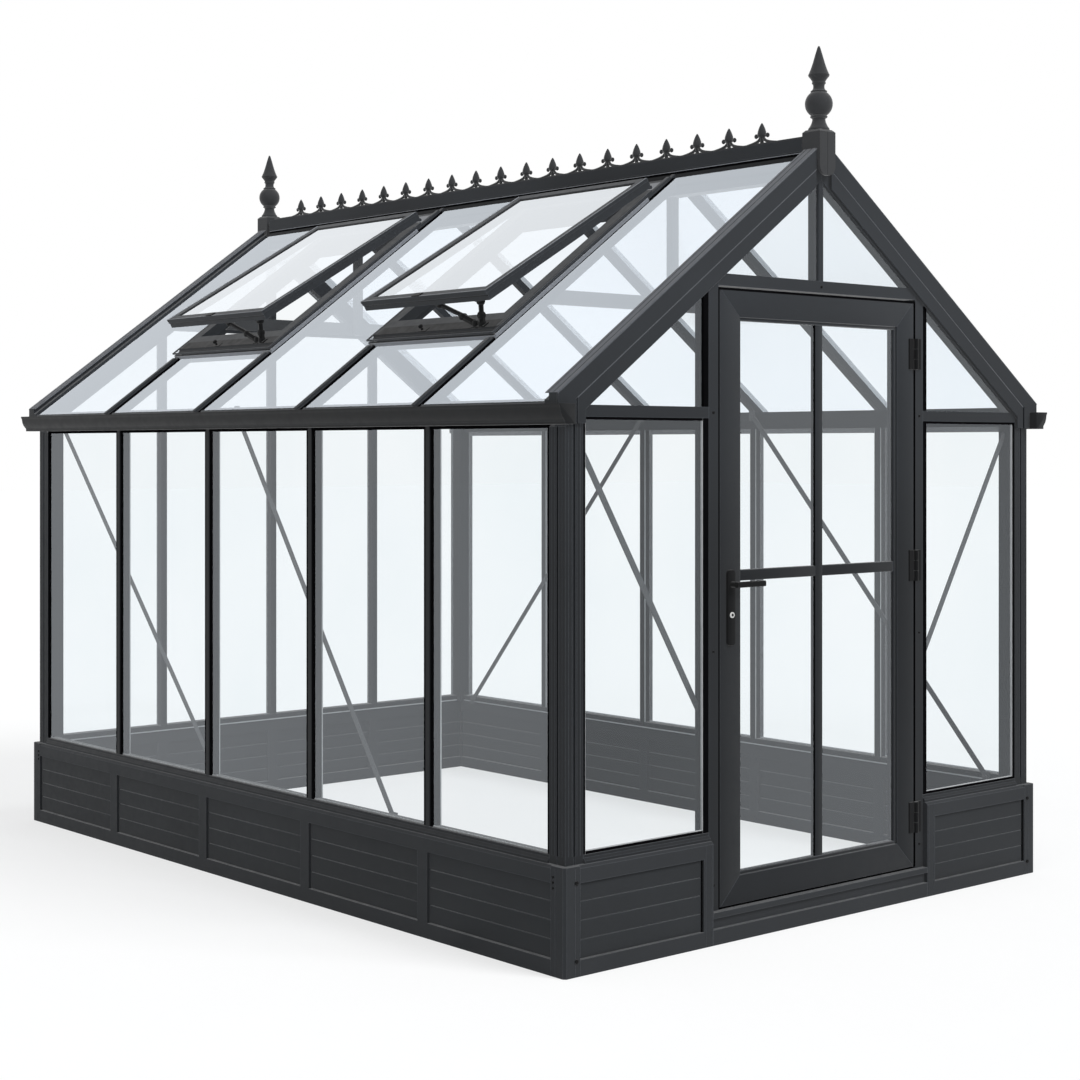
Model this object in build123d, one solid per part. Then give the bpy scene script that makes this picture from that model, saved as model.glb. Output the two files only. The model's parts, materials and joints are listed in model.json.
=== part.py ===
"""A framed glass greenhouse on a low panelled base, with a gable door and two raised roof vents.

Frame: X across the gables, Y along the side walls, Z up. The door gable faces -Y.
The origin is the middle of the footprint, on the ground. All sizes are in millimetres.
"""
import os
from math import asin, cos, radians, sin, tan

from build123d import *

# ---------------------------------------------------------------- driving dimensions
overall_width = 2260.0          # across the gables, outside of the base
overall_length = 3300.0         # along the side walls, outside of the base
base_height = 320.0             # ground to the top of the low base
eave_height = 1660.0            # height of the roof plane over the outside of the side frames
roof_pitch = 36.0               # degrees from level
side_bays = 5                   # panes along each side
back_bays = 4                   # panes across the back gable

# low base: framed panels of boards
base_thickness = 60.0
bottom_rail_height = 48.0
top_rail_height = 50.0
base_post_width = 50.0
door_side_stile_width = 40.0
board_recess = 10.0
ledge_bevel = 8.0

# glazed frame that stands on the base
frame_setback = 20.0            # from the base face to the frame face
frame_depth = 45.0
corner_post_size = 70.0
corner_post_groove = 6.0
sill_height = 25.0
sill_nose = 8.0
eave_bar_height = 35.0
eave_bar_drop = 5.0              # under the eave height
eave_beam_height = 55.0
glass_thickness = 4.0

# glazing bar section, from its outer cap inwards
cap_width = 24.0
cap_depth = 12.0
cap_bevel = 3.0
neck_width = 8.0
box_width = 28.0
pane_edge_clearance = 1.0

# roof, heights measured square to the roof plane
roof_cap_top = 30.0
ridge_width = 60.0
ridge_height_over_plane = 74.0
ridge_depth_under_plane = 60.0
ridge_bevel = 8.0
ridge_groove = 4.0
glass_overhang = 40.0           # beyond the frame face, over the gutter
verge_top = 47.0
verge_bottom = -56.0
verge_step = -10.0
verge_proud = 10.0
verge_cap_width = 36.0
glass_slot_depth = 15.0

# gutter along each eave
gutter_reach = 62.0             # from the frame face to the front lip
gutter_drop = 3.0                # gutter lip below the eave height
gutter_depth = 60.0
gutter_back_height = 43.0
gutter_bottom_width = 22.0
gutter_bottom_radius = 20.0
gutter_lip_height = 22.0
gutter_wall = 3.0
gutter_end_reach = 25.0         # beyond the base at each end

# ridge cresting and finials
spike_count = 19
crest_end_gap = 206.0            # from a finial block to the middle of the end spike
cresting_thickness = 8.0
crest_rail_height = 8.0
spike_height = 74.0
spike_leaf_half_width = 28.0
spike_head_half_width = 13.0
spike_stem_half_width = 12.0
spike_foot_half_width = 36.0
finial_block_size = 76.0
finial_block_rise = 20.0         # block over the ridge beam
finial_block_height = 99.0
finial_tongue_drop = 56.0
finial_tongue_width = 36.0
finial_block_chamfer = 8.0
finial_height = 275.0
finial_ball_radius = 45.0
finial_ball_height = 86.0        # middle of the ball over the foot
finial_cone_radius = 35.0
finial_cone_height = 97.0
finial_ball_bands = 6
finial_point_radius = 4.0
finial_neck_radius = 18.0
finial_ring_radius = 27.0
finial_foot_radius = 34.0
finial_foot_height = 7.0
finial_ring_height = 10.0
finial_ring_slope = 7.0

# door
door_width = 940.0
door_bottom = 107.0
door_height = 1918.0
door_thickness = 42.0
door_gap = 7.0
door_post_width = 43.0
door_post_depth = 60.0
door_stop_lip = 12.0
door_stop_clearance = 5.0
door_header_height = 38.0
door_rail_width = 88.0
door_bar_width = 34.0
door_bar_depth = 24.0
door_bar_height = 1130.0
threshold_height = 100.0
threshold_recess = 14.0
threshold_lip = 18.0

# door hinges
hinge_from_bottom = 168.0        # lowest hinge over the door's bottom
hinge_from_top = 178.0           # highest hinge under the door's top
hinge_height = 104.0
hinge_plate_width = 26.0
hinge_plate_thickness = 5.0
hinge_knuckle_radius = 8.0
hinge_pin_radius = 3.5
hinge_pin_clearance = 0.3
hinge_knuckle_gap = 0.5

# door handle
handle_drop = 25.0               # middle of the lever under the cross bar
handle_plate_width = 34.0
handle_plate_height = 235.0
handle_plate_rise = 45.0        # top of the plate over the lever
handle_plate_thickness = 8.0
handle_neck_radius = 9.0
handle_reach = 36.0             # from the leaf to the middle of the lever
handle_lever_length = 118.0
handle_lever_height = 18.0
handle_lever_thickness = 14.0
handle_lever_bevel = 3.0
handle_clearance = 0.5
spindle_radius = 5.0
lock_drop = 95.0                # lever to lock cylinder
lock_radius = 9.0
lock_proud = 3.0                # beyond the plates

# roof vents, two on the left slope; distances across are from the middle of the ridge
vent_bays = (1, 3)              # counted from the door gable, starting at 0
vent_top = 150.0                # hinge line
vent_bottom = 830.0
vent_opening_top = 175.0
vent_opening_bottom = 765.0
vent_side_width = 24.0
vent_side_lap = 18.0            # curb beyond the middle of the bars that it sits on
curb_height = 18.0              # over the bar caps
curb_leg_width = 36.0
sash_lap = 8.0                  # raised sash short of the curb's bottom edge when shut
sash_side_lap = 12.0
sash_rail_width = 30.0
sash_depth = 36.0
sash_pane_inset = 8.0           # pane under the top of the sash
sash_open_angle = 5.5
sash_hinge_radius = 6.0
sash_hinge_clearance = 0.3
stay_width = 10.0
stay_thickness = 6.0
long_stay_foot = 225.0          # along the roof from the middle of the vent, towards the door
long_stay_head = 60.0
short_stay_foot = 255.0
short_stay_head = 270.0

# braces, ties and hangers
brace_width = 20.0
brace_thickness = 4.0
front_brace_shift = 238.0        # foot of the left wall's front brace from the first bar
gable_brace_foot = 720.0
tie_height = 50.0
tie_thickness = 6.0
tie_under_ridge = 438.0         # middle of the tie under the crown of the roof plane
hanger_width = 30.0
collar_over_bars = 38.0         # collar's underside over the tops of the bars beside it
collar_height = 38.0

# ---------------------------------------------------------------- worked out from the above
half_width = overall_width / 2
half_length = overall_length / 2
frame_x = half_width - frame_setback
frame_y = half_length - frame_setback
glass_in = cap_depth + glass_thickness
post_x = frame_x - corner_post_size
post_y = frame_y - corner_post_size
inner_x = frame_x - frame_depth
inner_y = frame_y - frame_depth
bay_pitch = 2 * frame_y / side_bays
bar_ys = [-frame_y + bay_pitch * (i + 1) for i in range(side_bays - 1)]
back_pitch = 2 * frame_x / back_bays
bar_xs = [-frame_x + back_pitch * (i + 1) for i in range(back_bays - 1)]
sill_top = base_height + sill_height
glass_low = roof_cap_top - cap_depth - glass_thickness
glass_high = roof_cap_top - cap_depth
bar_underside = roof_cap_top - frame_depth
eave_bar_top = eave_height - eave_bar_drop
eave_bar_bottom = eave_bar_top - eave_bar_height
beam_bottom = eave_height - eave_beam_height
door_half = door_width / 2
door_top = door_bottom + door_height
post_in = door_half + door_gap
post_out = post_in + door_post_width
gutter_top = eave_height - gutter_drop
door_front = -frame_y
door_back = door_front + door_thickness
header_bottom = door_top + door_gap
header_top = header_bottom + door_header_height
hinge_x = door_half + door_gap / 2
hinge_y = door_front - hinge_knuckle_radius
handle_x = -door_half + door_rail_width / 2
handle_height = door_bar_height - handle_drop
hinge_heights = (door_bottom + hinge_from_bottom, door_bar_height, door_top - hinge_from_top)
slope_run = cos(radians(roof_pitch))
slope_rise = tan(radians(roof_pitch))
crown = eave_height + frame_x * slope_rise
ridge_top = crown + ridge_height_over_plane
finial_block_top = ridge_top + finial_block_rise
finial_block_bottom = finial_block_top - finial_block_height
crest_run = half_length - finial_block_size
spike_pitch = 2 * (crest_run - crest_end_gap) / (spike_count - 1)
curb_top = roof_cap_top + curb_height
sash_length = (vent_bottom - sash_lap - vent_top) / slope_run
tie_level = crown - tie_under_ridge
front_brace_foot = bar_ys[0] + front_brace_shift
front_brace_head = bar_ys[2] - front_brace_shift / 2


def roof_z(x, over=0.0):
    """Height of the roof plane at a distance across, raised square to the slope."""
    return eave_height + (frame_x - abs(x)) * slope_rise + over / slope_run


# ---------------------------------------------------------------- shapes
def block(x0, x1, y0, y1, z0, z1):
    """A straight bar between two corners."""
    corner = (Align.MIN, Align.MIN, Align.MIN)
    return Pos(x0, y0, z0) * Box(x1 - x0, y1 - y0, z1 - z0, align=corner)


def along_x(outline, x0, x1):
    """An outline in Y and Z, drawn out along X."""
    face = Plane.YZ.offset(x0) * Polygon(*outline, align=None)
    return extrude(face, amount=x1 - x0, dir=(1, 0, 0))


def along_y(outline, y0, y1):
    """An outline in X and Z, drawn out along Y."""
    face = Plane.XZ.offset(-y0) * Polygon(*outline, align=None)
    return extrude(face, amount=y1 - y0, dir=(0, 1, 0))


def along_z(outline, z0, z1):
    """An outline in X and Y, drawn out along Z."""
    face = Plane.XY.offset(z0) * Polygon(*outline, align=None)
    return extrude(face, amount=z1 - z0, dir=(0, 0, 1))


def oblong(a0, a1, b0, b1):
    """The four corners of an oblong outline."""
    return [(a0, b0), (a1, b0), (a1, b1), (a0, b1)]


def flip_x(shape):
    return mirror(shape, about=Plane.YZ)


def flip_y(shape):
    return mirror(shape, about=Plane.XZ)


def up_slope(outline, x_in, x_out):
    """An outline in Y and height over the roof, run up the right slope between two plumb cuts."""
    reach = overall_width
    run = Pos(frame_x, 0, eave_height) * Rot(0, roof_pitch, 0) * along_x(outline, -reach, reach)
    return run & block(x_in, x_out, -overall_length, overall_length, 0, 2 * overall_width)


def bar_outline(at=0.0):
    """The glazing bar's section: outer cap, neck between the panes, inner box. Depth grows inwards."""
    cap = cap_width / 2
    neck = neck_width / 2
    box = box_width / 2
    half = [(cap - cap_bevel, 0), (cap, cap_bevel), (cap, cap_depth), (neck, cap_depth),
            (neck, glass_in), (box, glass_in), (box, frame_depth)]
    other = [(-a, d) for a, d in reversed(half)]
    return [(at + a, d) for a, d in half + other]


def under_verge():
    """The space below the gable rafters, over the whole length."""
    side = half_width
    low = roof_z(side, verge_bottom)
    outline = [(-side, 0), (side, 0), (side, low), (0, roof_z(0, verge_bottom)), (-side, low)]
    return along_y(outline, -overall_length, overall_length)


def in_node(*pieces):
    """Several pieces of one kind as one node's shape."""
    return Compound(children=[solid for piece in pieces for solid in piece.solids()])


# ---------------------------------------------------------------- low base
def base_rail_outline(face):
    """Top rail of the base, with its bevelled ledge, as distance out and height."""
    inside = face - base_thickness
    rail_bottom = base_height - top_rail_height
    return [(inside, rail_bottom), (face, rail_bottom), (face, base_height - ledge_bevel),
            (face - ledge_bevel, base_height), (inside, base_height)]


def side_base():
    """Frame of the right base panel: two rails and a post at each bay."""
    end = half_length - base_thickness
    inside = half_width - base_thickness
    frame = along_y(base_rail_outline(half_width), -end, end)
    frame += block(inside, half_width, -end, end, 0, bottom_rail_height)
    for y in bar_ys:
        low = y - base_post_width / 2
        frame += block(inside, half_width, low, low + base_post_width, bottom_rail_height,
                       base_height - top_rail_height)
    return frame


def gable_base(x0, x1, posts):
    """Frame of a gable base panel between two places, with its upright posts."""
    inside = half_length - base_thickness
    rail = [(y, z) for y, z in base_rail_outline(half_length)]
    frame = along_x(rail, x0, x1)
    frame += block(x0, x1, inside, half_length, 0, bottom_rail_height)
    for low, high in posts:
        frame += block(low, high, inside, half_length, bottom_rail_height, base_height - top_rail_height)
    return frame


def side_boards():
    """The boarded infill of the right base, one for each bay."""
    end = half_length - base_thickness
    half_post = base_post_width / 2
    starts = [-end] + [y + half_post for y in bar_ys]
    stops = [y - half_post for y in bar_ys] + [end]
    x0 = half_width - base_thickness + board_recess
    x1 = half_width - board_recess
    return [block(x0, x1, a, b, bottom_rail_height, base_height - top_rail_height)
            for a, b in zip(starts, stops)]


def gable_boards(spans):
    """The boarded infill of a gable base, one for each opening."""
    y0 = half_length - base_thickness + board_recess
    y1 = half_length - board_recess
    return [block(a, b, y0, y1, bottom_rail_height, base_height - top_rail_height) for a, b in spans]


def base_corner():
    """The square post at a corner of the base, its outer edge bevelled."""
    x0 = half_width - base_thickness
    y0 = half_length - base_thickness
    outline = [(x0, y0), (half_width, y0), (half_width, half_length - ledge_bevel),
               (half_width - ledge_bevel, half_length), (x0, half_length)]
    return along_z(outline, 0, base_height)


# ---------------------------------------------------------------- glazed walls
def corner_post():
    """The back right corner post: square, with a groove down each outer face."""
    groove = corner_post_size / 2
    half_groove = corner_post_groove / 2
    post = block(post_x, frame_x, post_y, frame_y, base_height, beam_bottom)
    post -= block(frame_x - half_groove, frame_x, frame_y - groove - half_groove,
                  frame_y - groove + half_groove, base_height, beam_bottom)
    post -= block(frame_x - groove - half_groove, frame_x - groove + half_groove,
                  frame_y - half_groove, frame_y, base_height, beam_bottom)
    return post & under_verge()


def sill_outline(face):
    """The sill's section, with its drip nose, as distance out and height."""
    nose = face + sill_nose
    inside = face - frame_depth
    return [(inside, base_height), (nose, base_height), (nose, base_height + sill_nose),
            (face, base_height + 2 * sill_nose), (face, sill_top), (inside, sill_top)]


def side_bars():
    """The upright glazing bars of the right wall."""
    bars = []
    for y in bar_ys:
        outline = [(frame_x - depth, y + across) for across, depth in bar_outline()]
        bars.append(along_z(outline, sill_top, beam_bottom))
    return bars


def gable_bar(x, z0):
    """An upright glazing bar in the back gable, up to the rafters."""
    outline = [(x + across, frame_y - depth) for across, depth in bar_outline()]
    return along_z(outline, z0, roof_z(0)) & under_verge()


def side_glass():
    """The panes of the right wall."""
    half_neck = neck_width / 2 + pane_edge_clearance
    starts = [-post_y] + [y + half_neck for y in bar_ys]
    stops = [y - half_neck for y in bar_ys] + [post_y]
    x0 = frame_x - glass_in
    return [block(x0, x0 + glass_thickness, a, b, sill_top, beam_bottom) for a, b in zip(starts, stops)]


def gable_pane(x0, x1, z0, z1=None):
    """A pane in the back gable. Without a top height it runs up to the rafters."""
    y0 = frame_y - glass_in
    top = z1 if z1 else roof_z(0)
    pane = block(x0, x1, y0, y0 + glass_thickness, z0, top)
    return pane if z1 else pane & under_verge()


def eave_beam():
    """The head of the right wall, its top planed to the roof."""
    outline = [(inner_x, beam_bottom), (frame_x, beam_bottom), (frame_x, roof_z(frame_x, bar_underside)),
               (inner_x, roof_z(inner_x, bar_underside))]
    return along_y(outline, -inner_y, inner_y)


def gutter():
    """The right eave gutter: an ogee trough with closed ends."""
    back = frame_x
    lip = frame_x + gutter_reach
    bottom = gutter_top - gutter_depth
    lip_bottom = gutter_top - gutter_lip_height
    bend = back + gutter_bottom_width
    ogee_x = bend + gutter_bottom_radius
    ogee_z = bottom + gutter_bottom_radius
    front = ogee_x + (lip_bottom - ogee_z)
    with BuildSketch(Plane.XZ) as section:
        with BuildLine():
            Polyline((bend, bottom), (back, bottom), (back, gutter_top), (lip, gutter_top),
                     (lip, lip_bottom), (front, lip_bottom))
            RadiusArc((front, lip_bottom), (ogee_x, ogee_z), ogee_z - lip_bottom)
            RadiusArc((ogee_x, ogee_z), (bend, bottom), gutter_bottom_radius)
        make_face()
    end = half_length + gutter_end_reach
    trough = extrude(Pos(0, -end, 0) * section.sketch, amount=2 * end, dir=(0, 1, 0))
    hollow_face = offset(section.sketch, amount=-gutter_wall)
    hollow_end = end - gutter_wall
    hollow = extrude(Pos(0, -hollow_end, 0) * hollow_face, amount=2 * hollow_end, dir=(0, 1, 0))
    mouth = block(back + gutter_wall, lip - gutter_wall, gutter_wall - end, end - gutter_wall,
                  gutter_top - gutter_lip_height + gutter_wall, gutter_top)
    low_back = block(back, back + gutter_wall, -end, end, bottom + gutter_back_height, gutter_top)
    return trough - hollow - mouth - low_back


# ---------------------------------------------------------------- roof
def verge():
    """The right rafter of the back gable, stepped, with a slot that holds the end pane."""
    outer = frame_y + verge_proud
    cap_in = outer - verge_cap_width
    slot = inner_y + glass_slot_depth
    outline = [(frame_y, verge_bottom), (frame_y, verge_step), (outer, verge_step), (outer, verge_top),
               (cap_in, verge_top), (cap_in, roof_cap_top), (inner_y, roof_cap_top), (inner_y, glass_high),
               (slot, glass_high), (slot, glass_low), (inner_y, glass_low), (inner_y, verge_bottom)]
    rafter = up_slope(outline, 0, frame_x + glass_overhang)
    overhang = up_slope(oblong(inner_y, outer, verge_bottom, glass_high), frame_x,
                        half_width + glass_overhang)
    return rafter - overhang


def roof_bar(y):
    """A glazing bar on the right slope, from the eave beam to the ridge."""
    outline = [(y + across, roof_cap_top - depth) for across, depth in bar_outline()]
    bar = up_slope(outline, ridge_width / 2, frame_x + glass_overhang)
    box_end = oblong(y - box_width, y + box_width, bar_underside, glass_low)
    return bar - up_slope(box_end, frame_x, half_width + glass_overhang)


def roof_pane(y0, y1, x_in=ridge_width / 2):
    """A pane on the right slope."""
    return up_slope(oblong(y0, y1, glass_low, glass_high), x_in, frame_x + glass_overhang)


def pane_ends():
    """Where each roof pane starts and stops along the roof."""
    half_neck = neck_width / 2 + pane_edge_clearance
    edge = inner_y + glass_slot_depth - pane_edge_clearance
    starts = [-edge] + [y + half_neck for y in bar_ys]
    stops = [y - half_neck for y in bar_ys] + [edge]
    return list(zip(starts, stops))


def ridge():
    """The ridge beam, with a bevelled and grooved cap."""
    half = ridge_width / 2
    top = ridge_top
    bottom = crown - ridge_depth_under_plane
    half_outline = [(half, bottom), (half, top - 4 * ridge_bevel),
                    (half - ridge_groove, top - 4 * ridge_bevel),
                    (half - ridge_groove, top - 3 * ridge_bevel), (half, top - 3 * ridge_bevel),
                    (half, top - 2 * ridge_bevel), (half - 2 * ridge_bevel, top)]
    outline = half_outline + [(-x, z) for x, z in reversed(half_outline)]
    return along_y(outline, -inner_y, inner_y)


def crest_rail():
    """The rail that the crest's spikes stand on."""
    half = cresting_thickness / 2
    return block(-half, half, -crest_run, crest_run, ridge_top, ridge_top + crest_rail_height)


def spike():
    """One spike of the crest: spreading feet on the rail, a stem, side leaves and a point."""
    foot = spike_foot_half_width
    leaf = spike_leaf_half_width
    head = spike_head_half_width
    stem = spike_stem_half_width
    profile = ((foot, 0), (foot / 2, 0.05), (stem, 0.14), (stem, 0.22), (leaf * 0.8, 0.25), (leaf, 0.32),
               (leaf, 0.4), (leaf * 0.8, 0.47), (head * 0.8, 0.5), (head, 0.55), (head * 0.7, 0.72),
               (head / 2, 0.85), (0, 1))
    rise = spike_height - crest_rail_height
    half_outline = [(y, crest_rail_height + rise * share) for y, share in profile]
    outline = half_outline + [(-y, z) for y, z in reversed(half_outline[:-1])]
    half = cresting_thickness / 2
    return Pos(0, 0, ridge_top) * along_x(outline, -half, half)


def spikes():
    """The spikes of the crest, evenly spaced."""
    first = crest_end_gap - crest_run
    return [Pos(0, first + i * spike_pitch, 0) * spike() for i in range(spike_count)]


def finial():
    """The turned finial, from its foot to its point: foot, ring, ball, ring and cone."""
    foot = finial_foot_radius
    neck = finial_neck_radius
    ring = finial_ring_radius
    slope = finial_ring_slope
    height = finial_ring_height
    ball_z = finial_ball_height
    ball_half = (finial_ball_radius ** 2 - ring ** 2) ** 0.5
    ball_end = asin(ball_half / finial_ball_radius)
    ball_turns = [ball_end * (2 * i / finial_ball_bands - 1) for i in range(finial_ball_bands + 1)]
    ball = [(finial_ball_radius * cos(turn), ball_z + finial_ball_radius * sin(turn)) for turn in ball_turns]
    cone_z = finial_height - finial_cone_height
    low_ring = ball_z - ball_half - height
    high_ring = ball_z + ball_half + height
    collar = cone_z - 2 * slope
    lower = [(0, 0), (foot, 0), (foot, finial_foot_height), (neck, low_ring - slope), (ring, low_ring)]
    upper = [(ring, high_ring), (neck, high_ring + slope), (neck, collar), (finial_cone_radius, cone_z),
             (finial_point_radius, finial_height), (0, finial_height)]
    face = Plane.XZ * Polygon(*lower, *ball, *upper, align=None)
    return revolve(face, axis=Axis.Z)


def finial_block():
    """The block that saddles the ridge end over the glass, with its pointed tongue down the gable."""
    half = finial_block_size / 2
    front = half_length
    back = front - finial_block_size
    face = frame_y + verge_proud
    low = finial_block_bottom
    top = finial_block_top
    cap = top - finial_block_chamfer
    cap_half = half - finial_block_chamfer
    body = along_y([(-half, low), (half, low), (half, cap), (cap_half, top), (-cap_half, top), (-half, cap)],
                   back, front)
    body &= along_x([(back, low), (front, low), (front, cap), (front - finial_block_chamfer, top),
                     (back + finial_block_chamfer, top), (back, cap)], -half, half)
    tongue = finial_tongue_width / 2
    tip = low - finial_tongue_drop
    plate = along_y([(-tongue, low), (-tongue, tip + tongue), (0, tip), (tongue, tip + tongue),
                     (tongue, low)],
                    face, front)
    over_glass = along_y([(-half, roof_z(half, glass_high)), (0, roof_z(0, glass_high)),
                          (half, roof_z(half, glass_high)), (half, top), (-half, top)], back, face)
    return (body & (over_glass + block(-half, half, face, front, low, top))) + plate


# ---------------------------------------------------------------- door and doorway
def door_post():
    """The right door post with its stop, up to the rafter. It faces +Y here and is turned later."""
    y1 = frame_y
    y0 = frame_y - door_post_depth
    stop_y = frame_y - door_thickness - door_stop_clearance
    post = block(post_in, post_out, y0, y1, threshold_height, roof_z(0))
    post += block(post_in - door_stop_lip, post_in, y0, stop_y, threshold_height, header_top)
    return post & under_verge()


def door_header():
    """The bar over the door, with its stop, between the posts."""
    y0 = frame_y - door_post_depth
    stop_y = frame_y - door_thickness - door_stop_clearance
    lip_end = post_in - door_stop_lip
    bar = block(-post_in, post_in, stop_y, frame_y, header_bottom, header_top)
    bar += block(-lip_end, lip_end, y0, stop_y, header_bottom - door_stop_lip, header_top)
    return bar & under_verge()


def threshold():
    """The step under the door: a lip over a shadow recess and a bottom rail."""
    face = -half_length
    inside = -frame_y + door_post_depth
    back = face + threshold_recess
    lip = threshold_height - threshold_lip
    outline = [(face, 0), (inside, 0), (inside, threshold_height), (face, threshold_height), (face, lip),
               (back, lip), (back, bottom_rail_height), (face, bottom_rail_height)]
    return along_x(outline, -post_out, post_out)


def door_leaf():
    """The leaf's frame with one upright bar and one cross bar, made as one welded piece."""
    inner_half = door_half - door_rail_width
    low = door_bottom + door_rail_width
    high = door_top - door_rail_width
    leaf = block(-door_half, door_half, door_front, door_back, door_bottom, door_top)
    leaf -= block(-inner_half, inner_half, door_front, door_back, low, high)
    bar_y = door_front + (door_thickness - door_bar_depth) / 2
    half_bar = door_bar_width / 2
    leaf += block(-half_bar, half_bar, bar_y, bar_y + door_bar_depth, low, high)
    leaf += block(-inner_half, inner_half, bar_y, bar_y + door_bar_depth, door_bar_height - half_bar,
                  door_bar_height + half_bar)
    leaf -= through_door(spindle_radius + handle_clearance, door_thickness, handle_height)
    return leaf - through_door(lock_radius, door_thickness, handle_height - lock_drop)


def through_door(radius, length, height):
    """A round bar through the lock stile, centred in the leaf's thickness."""
    middle = (door_front + door_back) / 2
    return Pos(handle_x, middle, height) * Rot(90, 0, 0) * Cylinder(radius, length)


def door_panes():
    """The four panes of the door."""
    half_bar = door_bar_width / 2
    inner_half = door_half - door_rail_width
    low = door_bottom + door_rail_width
    high = door_top - door_rail_width
    y0 = door_front + (door_thickness - glass_thickness) / 2
    panes = []
    for a, b in ((-inner_half, -half_bar), (half_bar, inner_half)):
        for c, d in ((low, door_bar_height - half_bar), (door_bar_height + half_bar, high)):
            panes.append(block(a, b, y0, y0 + glass_thickness, c, d))
    return panes


def barrel(z0, z1, radius):
    """A stretch of the hinge's barrel, or of its pin or bore, between two heights."""
    return Pos(hinge_x, hinge_y, (z0 + z1) / 2) * Cylinder(radius, z1 - z0)


def hinge_plate(x0, x1, z0, z1):
    """A flat stretch of a hinge's leaf, on the face of the door or of its post."""
    return block(x0, x1, door_front - hinge_plate_thickness, door_front, z0, z1)


def hinge_on_door(z):
    """The door's half of a hinge: its plate and the middle knuckle, bored for the pin."""
    half = hinge_height / 2
    third = hinge_height / 6 - hinge_knuckle_gap / 2
    clear = hinge_x - hinge_knuckle_radius - hinge_knuckle_gap
    leaf = hinge_plate(door_half - hinge_plate_width, clear, z - half, z + half)
    leaf += hinge_plate(clear, door_half, z - third, z + third)
    leaf += barrel(z - third, z + third, hinge_knuckle_radius)
    return leaf - barrel(z - third, z + third, hinge_pin_radius + hinge_pin_clearance)


def hinge_on_post(z):
    """The post's half of a hinge: its plate, the outer knuckles and the pin."""
    half = hinge_height / 2
    third = hinge_height / 6 + hinge_knuckle_gap / 2
    clear = hinge_x + hinge_knuckle_radius + hinge_knuckle_gap
    leaf = hinge_plate(clear, post_in + hinge_plate_width, z - half, z + half)
    for low, high in ((z - half, z - third), (z + third, z + half)):
        leaf += hinge_plate(post_in, clear, low, high)
        leaf += barrel(low, high, hinge_knuckle_radius)
    return leaf + barrel(z - half, z + half, hinge_pin_radius)


def handle_plates():
    """The long plates behind the levers, one on each face of the door."""
    top = handle_height + handle_plate_rise
    bottom = top - handle_plate_height
    half = handle_plate_width / 2
    plates = []
    for y0 in (door_front - handle_plate_thickness, door_back):
        plate = block(handle_x - half, handle_x + half, y0, y0 + handle_plate_thickness, bottom, top)
        plate = chamfer(plate.edges().filter_by(Axis.Y), handle_plate_thickness / 2)
        reach = door_thickness + 2 * handle_plate_thickness
        plate -= through_door(handle_neck_radius + handle_clearance, reach, handle_height)
        plates.append(plate - through_door(lock_radius, reach, handle_height - lock_drop))
    return plates


def lock_cylinder():
    """The lock's round cylinder, through the leaf and both plates."""
    reach = door_thickness + 2 * (handle_plate_thickness + lock_proud)
    return through_door(lock_radius, reach, handle_height - lock_drop)


def levers():
    """The two levers on one spindle through the door."""
    middle_y = (door_front + door_back) / 2
    reach = door_thickness / 2 + handle_reach
    piece = through_door(handle_neck_radius, 2 * reach, handle_height)
    piece -= through_door(handle_neck_radius, door_thickness + 2 * handle_clearance, handle_height)
    piece += through_door(spindle_radius, 2 * reach, handle_height)
    for side in (-1, 1):
        y = middle_y + side * reach
        piece += along_x(lever_outline(y), handle_x - handle_neck_radius, handle_x + handle_lever_length)
    return piece


def lever_outline(y):
    """The lever's bevelled section, as Y and Z."""
    wide = handle_lever_thickness / 2
    high = handle_lever_height / 2
    bevel = handle_lever_bevel
    quarter = [(wide, high - bevel), (wide - bevel, high)]
    upper = quarter + [(-a, b) for a, b in reversed(quarter)]
    lower = [(-a, -b) for a, b in upper]
    return [(y + a, handle_height + b) for a, b in upper + lower]


# ---------------------------------------------------------------- roof vents
def vent_curb(y0, y1):
    """The fixed frame of a vent on the right slope: a flange between the bars, a ring that laps over
    their caps, and a leg below the glass at its top and bottom."""
    edge = neck_width / 2 + pane_edge_clearance
    side = cap_width / 2 + pane_edge_clearance
    inner = side + vent_side_width
    leg = box_width / 2
    ring_top = vent_opening_top - vent_side_width
    frame = up_slope(oblong(y0 + edge, y1 - edge, glass_low, glass_high), ridge_width / 2, vent_bottom)
    frame += up_slope(oblong(y0 + side, y1 - side, glass_high, roof_cap_top), ring_top, vent_bottom)
    frame += up_slope(oblong(y0 - vent_side_lap, y1 + vent_side_lap, roof_cap_top, curb_top), ring_top,
                      vent_bottom)
    for x0, x1 in ((vent_opening_top - curb_leg_width, vent_opening_top),
                   (vent_opening_bottom, vent_opening_bottom + curb_leg_width)):
        frame += up_slope(oblong(y0 + leg, y1 - leg, bar_underside, glass_low), x0, x1)
    return frame - up_slope(oblong(y0 + inner, y1 - inner, bar_underside, curb_top), vent_opening_top,
                            vent_opening_bottom)


def sash_place(y):
    """The raised vent's own frame: origin on its hinge line, X down the slope, Z out of the roof."""
    over = curb_top + sash_hinge_radius + sash_hinge_clearance
    return Pos(vent_top, y, roof_z(vent_top, over)) * Rot(0, roof_pitch - sash_open_angle, 0)


def vent_sash(y0, y1):
    """The raised frame of a vent, with its hinge barrel along the top."""
    half = (y1 - y0) / 2 + sash_side_lap
    rail = sash_rail_width
    flat = (Align.MIN, Align.CENTER, Align.MIN)
    frame = Box(sash_length, 2 * half, sash_depth, align=flat)
    frame -= Pos(rail, 0, 0) * Box(sash_length - 2 * rail, 2 * (half - rail), sash_depth, align=flat)
    roll = Rot(90, 0, 0) * Cylinder(sash_hinge_radius, 2 * half)
    return sash_place((y0 + y1) / 2) * (frame + roll)


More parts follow.
